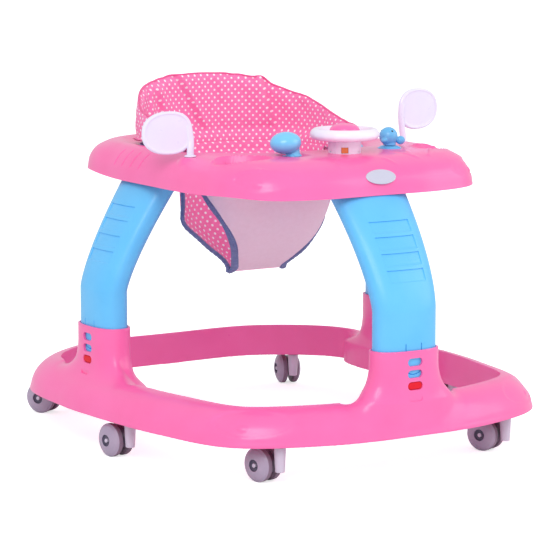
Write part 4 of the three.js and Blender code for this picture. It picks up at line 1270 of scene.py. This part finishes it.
# ---- stitches ----------------------------------------------------------------------------
# Short stitches of sewing thread: one pink row under the rim piping, and a navy row on both
# faces of each tape. Spacing and length of the stitches are set for each seam; the thread's
# thickness is the same for all.
stitches, entry, leave = new_group("stitches", "GeometryNodeTree", [
    ("Geometry", "Geometry"), ("Spacing", "Float", 4.6 * MM), ("Length", "Float", 3.0 * MM),
    ("Radius", "Float", 0.36 * MM), ("Thread", "Material"),
], [("Geometry", "Geometry")])
lines = add_node(stitches, "GeometryNodeMeshToCurve", {0: entry["Geometry"]}).outputs[0]
spaced = {"Curve": lines, "Length": entry["Spacing"]}
spaced = add_node(stitches, "GeometryNodeCurveToPoints", spaced, mode="LENGTH").outputs
grain = {"Segments": 6, "Rings": 4, "Radius": 1.0}
grain = add_node(stitches, "GeometryNodeMeshUVSphere", grain).outputs["Mesh"]
half_length = maths(stitches, "MULTIPLY", entry["Length"], 0.5)
size = {"X": entry["Radius"], "Y": entry["Radius"], "Z": half_length}
size = add_node(stitches, "ShaderNodeCombineXYZ", size).outputs[0]
sewn = add_node(stitches, "GeometryNodeInstanceOnPoints", {
    "Points": spaced["Points"], "Rotation": spaced["Rotation"], "Instance": grain, "Scale": size,
})
for step in ("GeometryNodeRealizeInstances", "GeometryNodeSetShadeSmooth"):
    sewn = add_node(stitches, step, {0: sewn.outputs[0]})
coloured = {"Geometry": sewn.outputs[0], "Material": entry["Thread"]}
coloured = add_node(stitches, "GeometryNodeSetMaterial", coloured)
feed(stitches, leave, {0: coloured.outputs[0]})


def sew(name, rows, thread, **sizes):
    """A plain mesh of stitches along each row of points."""
    seam = bpy.data.meshes.new(name + "_lines")
    starts = np.concatenate([[0], np.cumsum([len(r) for r in rows])])
    edges = [(k, k + 1) for a, b in zip(starts[:-1], starts[1:]) for k in range(a, b - 1)]
    seam.from_pydata([tuple(p) for p in np.concatenate(rows) * MM], edges, [])
    line = put_in(name, seam)
    sewing = line.modifiers.new("sewing", "NODES")
    sewing.node_group = stitches
    values = {"Thread": thread, **sizes}
    for item in stitches.interface.items_tree:
        if item.name in values:
            sewing[item.identifier] = values[item.name]
    bpy.context.view_layer.update()
    return settle(line)


spun = {"gloss": 0.6, "coat": 0.0, "mottle": 220}
pink_thread = moulded("pink_thread", (255, 176, 214), (246, 160, 202), **spun)
navy_thread = moulded("navy_thread", (150, 166, 206), (130, 146, 190), **spun)
seams = (("backrest", pink_thread, "seat_fabric"), ("tapes", navy_thread, "binding"))
for part, thread, slot in seams:
    sewn = sew(part + "_stitches", stitch_rows[part], thread, Spacing=4.6 * MM, Length=3.0 * MM)
    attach(sewn, "height_frame")

# ---- steering wheel ----------------------------------------------------------------------
# A white column with an orange window stands on the tray; the grip ring turns on it and is
# held by a pink domed cap. All are turned shapes, as moulded.
STEERING = {"at": (0, -175), "column_r": 23.5, "base": 430.35, "column_top": 449, "turn": -0.58}
white_plastic = moulded("white_plastic", (246, 238, 252), (240, 232, 247), gloss=0.3, coat=0.2)
orange_plastic = moulded("orange_plastic", (236, 134, 64), (222, 112, 50), gloss=0.25)


hub_at = STEERING["at"]
column = turned("steering_column_shell", rounded([
    (0, STEERING["base"]), (STEERING["column_r"], STEERING["base"]),
    (STEERING["column_r"], STEERING["column_top"]), (0, STEERING["column_top"]),
], 1.2), hub_at)
pocket = slab("pocket", (-5.2, -26, 432.2), (5.2, -19.5, 440.8), STEERING["turn"], hub_at)
side_slots = []
for k in (-1, 1):
    low, high, turn = (-28 * k, -2.2, 433), (-21 * k, 2.2, 435), STEERING["turn"] + 0.55 * k
    side_slots.append(slab(f"side_slot_{k}", low, high, turn, hub_at))
combine(column, [pocket] + side_slots)
dress(column, white_plastic, "height_frame", ["steering_column"])
low, high = (-4.9, -22.2, 432.5), (4.9, -20.2, 440.5)
window = slab("column_window", low, high, STEERING["turn"], hub_at, bevel=0.5)
dress(window, orange_plastic, "height_frame", ["steering_insert"])

GRIP = {"spokes": 3, "well": 2.8, "fingers": 18, "finger_rise": 0.245}
low = STEERING["column_top"] + 0.35
ring_profile = rounded([
    (4.4, low), (32, low + 0.6), (45, low + 1.2), (50, low + 6.5), (48.5, low + 13),
    (43, low + 17.5), (38.5, low + 16), (35.5, low + 8.5), (31, low + 5.4), (24, low + 5),
    (4.4, low + 5),
], 3.4, steps=6, closed=True)
grip = turned("steering_grip_ring", ring_profile, hub_at, 144, closed=True)
grip_points = points_of(grip)
rel = grip_points - np.array([*hub_at, 0])
grip_r, grip_a, grip_z = np.hypot(rel[:, 0], rel[:, 1]), np.arctan2(rel[:, 1], rel[:, 0]), rel[:, 2]
well = smooth_step(23, 25.5, grip_r) * smooth_step(36.5, 33.5, grip_r) * (grip_z > low + 3)
between = smooth_step(-0.35, 0.1, np.cos(GRIP["spokes"] * grip_a + 0.08 * (grip_r - 24) + 0.6))
grip_points[:, 2] -= GRIP["well"] * well * between
finger = GRIP["finger_rise"] * np.cos(GRIP["fingers"] * grip_a) * smooth_step(44, 49, grip_r)
finger *= smooth_step(low + 1, low + 5, grip_z) * smooth_step(low + 15, low + 10, grip_z)
grip_points[:, :2] += (rel[:, :2] / grip_r[:, None]) * finger[:, None]
move_points(grip, grip_points)
dress(grip, white_plastic, "steering_wheel", ["steering_ring"], angle=50)
cap_low = STEERING["column_top"] + 5.7
dome = turned("steering_cap_dome", rounded([
    (0, cap_low), (20.6, cap_low), (21.8, cap_low + 6.5), (20.8, cap_low + 11.5),
    (17.2, cap_low + 15.2), (11.5, cap_low + 17.2), (5.5, cap_low + 18), (0, cap_low + 18.2),
], 2.4, steps=6), hub_at)
dress(dome, pink_plastic, "steering_wheel", ["steering_cap"], angle=60)

# ---- rocking knob ------------------------------------------------------------------------
# A glossy blue egg on a necked stem, one moulding, which rocks in the tray's slot on a pin
# below it.
KNOB = {"at": (-88, -160), "foot": (-81, -167), "flange": 429.5, "ball_z": 449.2, "ball": 22.8}
toy_blue = moulded("toy_blue", (122, 206, 250), (108, 194, 242), gloss=0.2, coat=0.45)


def ball(name, centre, radii, lean=0.0, rows=40, sides=64):
    """A smooth egg, from its half sizes, leaned about Y."""
    t = np.linspace(0, math.pi, rows)[:, None]
    a = full_turn(sides)[None, :]
    r = np.maximum(np.sin(t), 0.004)
    x, y = radii[0] * r * np.cos(a), radii[1] * r * np.sin(a)
    z = -radii[2] * np.cos(t) + 0 * a
    c, s = math.cos(lean), math.sin(lean)
    return loft(name, np.stack([x * c + z * s, y, z * c - x * s], -1) + np.array(centre))


def melt(obj, voxel, rounds):
    """Blends joined shapes into one moulding with soft inside corners."""
    regrid(obj, voxel)
    ease = obj.modifiers.new("ease", "SMOOTH")
    ease.factor, ease.iterations = 0.5, rounds
    return settle(obj)


kx, ky = KNOB["at"]
flange, ball_z = KNOB["flange"], KNOB["ball_z"]
half_sizes = KNOB["ball"], KNOB["ball"] * 0.9, KNOB["ball"] * 0.68
egg = ball("rocking_knob", (kx - 4.2, ky - 3.9, ball_z), half_sizes, lean=-0.06)
neck = turned("neck", rounded([
    (0, flange + 0.3), (12, flange + 0.3), (12.2, flange + 1.4), (9.6, flange + 4),
    (8.4, flange + 8), (8.8, flange + 13), (9, ball_z), (0, ball_z),
], 1.4), KNOB["foot"], 64)
knob = melt(combine(egg, [neck], "UNION"), 0.8, 5)
stub = slab("stub", (-4, -4, 409), (4, 4, flange + 1.5), at=KNOB["at"])
combine(knob, [stub], "UNION")
dress(knob, toy_blue, "knob", ["knob_lever"], angle=50)

# ---- turning animal ----------------------------------------------------------------------
# A plain little bird, one blue moulding with painted eyes, turns on a spindle over a fixed
# skirted foot.
ANIMAL = {"at": (88, -160), "base": 430.35, "head": 13.3}
bird_blue = moulded("bird_blue", (108, 190, 240), (96, 178, 230), gloss=0.3, coat=0.25)
dark_paint = moulded("dark_paint", (38, 44, 62), (28, 32, 48), gloss=0.25)
ax, ay = ANIMAL["at"]
base = ANIMAL["base"]
foot = turned("bird_skirt", rounded([
    (3.6, base), (17.6, base), (17.2, base + 2), (12.5, base + 5), (3.6, base + 5),
], 0.8, closed=True), ANIMAL["at"], 72, closed=True)
dress(foot, bird_blue, "height_frame", ["animal_base"])
perch = base + 5.7
neck_profile = [(0, perch), (9.0, perch), (9.2, perch + 2), (8.6, perch + 8), (0, perch + 9)]
bird_head = np.array([ax - 1.4, ay + 0.9, perch + 13])
bird = ball("turning_bird", bird_head, (ANIMAL["head"],) * 3)
bird_parts = [
    turned("bird_neck", neck_profile, ANIMAL["at"], 48),
    ball("bird_tail", (ax + 15.5, ay - 5, perch + 6.8), (6.8, 6.4, 6.2)),
    ball("bird_bill", (ax - 10.6, ay - 4, perch + 8.6), (6.8, 5.2, 3.6), lean=-0.35),
]
melt(combine(bird, bird_parts, "UNION"), 0.7, 4)
dress(bird, bird_blue, "animal", ["animal_body"], angle=60)
for k, way in enumerate(((-0.05, -0.79, 0.6), (-0.5, 0.62, 0.6))):
    eye_at = bird_head + unit(np.array(way)) * (ANIMAL["head"] - 0.9)
    eye = ball(f"bird_eye_{k + 1}", eye_at, (1.7, 1.7, 1.7), rows=16, sides=24)
    dress(eye, dark_paint, "animal", ())

# ---- toy mirrors -------------------------------------------------------------------------
# Two pale oval mirrors on bent stems. The frame is one moulding with a raised rim on both
# faces; the bright plate sits in the face turned to the child.
MIRROR = {
    "x": 185, "y": -59, "half_x": 38.5, "half_z": 30.6, "turn": 7.5, "foot": 425.5, "flange": 8.6,
    "power": 2.35,
}
lilac_plastic = moulded("lilac_plastic", (238, 234, 254), (231, 227, 249), gloss=0.28, coat=0.2)
bright_plate, tree, skin = new_material("bright_plate")
where = add_node(tree, "ShaderNodeTexCoord").outputs["Object"]
haze = add_node(tree, "ShaderNodeTexNoise", {"Vector": where, "Scale": 45}).outputs["Fac"]
rough = add_node(tree, "ShaderNodeMapRange", {"Value": haze, "To Min": 0.05, "To Max": 0.14})
feed(tree, skin, {
    "Metallic": 1.0, "Base Color": (0.86, 0.88, 0.9, 1), "Roughness": rough.outputs["Result"],
})


def mirror_place(points, side):
    at = side * MIRROR["x"], MIRROR["y"]
    return set_down(points, math.radians(side * MIRROR["turn"]), at)


def disc_rows(profile, centre, side, sides=96):
    oval = superellipse(MIRROR["half_x"], MIRROR["half_z"], 0, full_turn(sides), MIRROR["power"])
    egg_x, egg_z = oval[:, 0], oval[:, 1] * (1 - 0.06 * side * np.cos(full_turn(sides)))
    rows = []
    for size, depth in profile:
        x, z = centre[0] + egg_x * size, centre[2] + egg_z * size
        rows.append(np.stack([x, np.full(sides, centre[1] + depth), z], 1))
    return mirror_place(rows, side)


FRAME_PROFILE = rounded([
    (0.01, -2.0), (0.84, -2.1), (0.875, -3.4), (0.945, -3.5), (1.0, -1.2), (1.0, 1.2),
    (0.955, 3.4), (0.885, 3.4), (0.865, 1.0), (0.01, 1.0),
], 0.45, steps=4)
PLATE_PROFILE = [(0.01, 1.25), (0.835, 1.25), (0.845, 1.8), (0.83, 2.5), (0.6, 2.6), (0.01, 2.65)]
foot, flange = MIRROR["foot"], MIRROR["flange"]
for side, name, rise in ((-1, "left", 36), (1, "right", 51)):
    centre = (side * 33, 5.5, 424 + rise)
    disc = loft("mirror_frame_shell_" + name, disc_rows(FRAME_PROFILE, centre, side))
    path = spline([
        (0, 0, foot + 0.5), (-side * 1, 1.5, foot + 12),
        (-side * 2.2, 4, centre[2] - 12), (0, 5.5, centre[2] + 8),
    ], 60, closed=False)
    forward, sideways = bead_frame(path, np.array([0.0, 1.0, 0.0]))
    stem = swept("stem", path, sideways, -forward, 5.2, 4.2, 24)
    move_points(stem, mirror_place(points_of(stem), side))
    seat = turned("flange", rounded([
        (0, 412.5), (2.8, 412.5), (2.8, foot), (flange, foot), (flange, foot + 1.6),
        (flange - 1.6, foot + 2.6), (0, foot + 3.2),
    ], 0.5), (side * MIRROR["x"], MIRROR["y"]), 48)
    combine(disc, [stem, seat], "UNION")
    dress(disc, lilac_plastic, "mirror_" + name, ["mirror_frame_" + name], angle=40)
    plate = loft("mirror_glass_" + name, disc_rows(PLATE_PROFILE, centre, side))
    dress(plate, bright_plate, "mirror_" + name, ["mirror_plate_" + name], angle=50)

# ---- casters -----------------------------------------------------------------------------
# Six swivelling twin-wheel casters in smoky lilac plastic: a pale post with a hood over the axle,
# coloured dark as painted shade between the wheels, and two domed wheels with a moulded ridge, a
# sunk hub and a lighter axle end.
WHEEL = {"radius": 24, "tread": 12.9, "hub": 8.3}
CASTER = {"trail": 32, "low": 17, "top": 55.6}
wheel_face = moulded(
    "wheel_face", (184, 168, 190), (168, 152, 176), gloss=0.34, coat=0.15, mottle=40,
)
wheel_tread = moulded(
    "wheel_tread", (152, 128, 148), (136, 112, 132), gloss=0.45, coat=0.05, mottle=40,
)
post_plastic = moulded("post_plastic", (216, 204, 222), (204, 190, 210), gloss=0.3)
# The hood's dark colour is painted shade, standing for the shadow between the two wheels.
hood_painted_shade = moulded("hood_painted_shade", (92, 78, 98), (76, 64, 84), gloss=0.35)
hub_plastic = moulded("hub_plastic", (96, 90, 112), (80, 74, 96), gloss=0.4, coat=0.05)
collar_plastic = moulded("collar_plastic", (112, 56, 84), (98, 46, 72), gloss=0.35)


def spun_on_axle(name, profile, side, turn, at, sides=72):
    """A body turned about the axle from (radius, distance along it) points."""
    a = full_turn(sides)
    rows = []
    for r, along in profile:
        y, z = CASTER["trail"] + r * np.cos(a), WHEEL["radius"] + r * np.sin(a)
        rows.append(np.stack([np.full(sides, side * along), y, z], 1))
    return loft(name, set_down(rows, turn, at), closed=True)


def off_axle(points, turn, at):
    """Points in a caster's own frame: x runs along its axle, whose middle is the origin."""
    local = set_down(np.asarray(points) - [*at, 0], -turn, (0, 0))
    return local - [0, CASTER["trail"], WHEEL["radius"]]


WHEEL_PROFILE = rounded([
    (3.4, 5), (19, 5), (21, 6), (23.0, 5.2), (24, 6.4), (24, 12.4), (23.3, 13.2), (22.9, 13.6),
    (22.6, 13.4), (20.5, 15.6), (16, 17.8), (11, 19.3), (9.2, 19.8), (8.4, 19.4), (7.6, 16.4),
    (3.4, 16.4),
], 0.7, steps=4, closed=True)
AXLE_PROFILE = rounded([
    (0.02, -19.2), (2.6, -19.2), (3, -18.6), (3, 18.6), (2.6, 19.2), (0.02, 19.2),
], 0.3, steps=3)
low, top = CASTER["low"], CASTER["top"]
bodies = frame["record"]["behaviour"]["bodies"]
for name, (at, trail) in CASTERS.items():
    turn = math.atan2(-trail[0], trail[1])
    for node in ("wheel_outer_" + name, "wheel_inner_" + name):
        middle = np.mean(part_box(node), axis=0) / MM
        side = 1 if off_axle(middle, turn, at)[0] > 0 else -1
        wheel = spun_on_axle(node + "_tyre", WHEEL_PROFILE, side, turn, at)
        dress(wheel, wheel_face, "wheels_" + name, [node], angle=40)
        wheel.data.materials.append(wheel_tread)
        wheel.data.materials.append(hub_plastic)
        centres = np.array([p.center[:] for p in wheel.data.polygons]) / MM
        x, y, z = off_axle(centres, turn, at).T
        finish = np.where(np.abs(x) < WHEEL["tread"], 1, 0)
        hub = (np.hypot(y, z) < WHEEL["hub"]) & (np.abs(x) > WHEEL["tread"])
        finish = np.where(hub, 2, finish)
        wheel.data.polygons.foreach_set("material_index", finish.astype(np.int32))
    axle = spun_on_axle("axle_pin_" + name, AXLE_PROFILE, 1, turn, at, 32)
    post = turned("caster_post_" + name, rounded([
        (0, low), (6.6, low), (7.4, 30), (8.2, 46), (8.2, top - 3), (0, top - 3),
    ], 1.0), at, 48)
    pin = turned("pin", [(0, 50), (3.9, 50), (3.9, 81), (3.2, 82), (0, 82)], at, 32)
    combine(post, [pin], "UNION")
    dress(post, post_plastic, "caster_" + name, ["caster_body_" + name])
    collar = turned("caster_collar_" + name, rounded([
        (8.25, top - 4), (9.4, top - 4), (9.5, top - 0.2), (8.25, top - 0.2),
    ], 0.5, closed=True), at, 48, closed=True)
    dress(collar, collar_plastic, "caster_" + name, ())
    middle = np.array([CASTER["trail"], WHEEL["radius"]])
    arc = np.linspace(math.radians(-35), math.radians(205), 40)
    round_arc = np.stack([np.cos(arc), np.sin(arc)], 1)
    side_view = np.concatenate([20.5 * round_arc, 8 * round_arc[::-1] - [0, 2]])
    rows = []
    for x_at, ease in ((-4, 0.8), (-3.2, 0), (3.2, 0), (4, 0.8)):
        eased = middle + side_view * (1 - ease / 20)
        rows.append(np.stack([np.full(len(eased), x_at), eased[:, 0], eased[:, 1]], 1))
    # The hood over the axle, dark with painted shade for the gap between the wheels.
    hood = loft("caster_hood_" + name, set_down(rows, turn, at))
    dress(hood, hood_painted_shade, "caster_" + name, ())
    axle_node = "caster_axle_" + name
    axle_body = next(body for body, members in bodies.items() if axle_node in members)
    dress(axle, post_plastic, axle_body, [axle_node])

# ---- hidden hardware ---------------------------------------------------------------------
# Screws, pins and spindles of plated steel and the white fork under the knob keep the shape
# they have in the frame and only get their finish.
plated_steel = moulded(
    "plated_steel", (178, 180, 188), (160, 162, 172), gloss=0.3, coat=0.0, mottle=80,
    extra={"Metallic": 1.0},
)
for node, obj in frame["nodes"].items():
    if obj.hide_render:
        continue
    steel = any(word in node for word in ("screw", "spindle", "pin"))
    obj.data.materials.clear()
    obj.data.materials.append(plated_steel if steel else white_plastic)
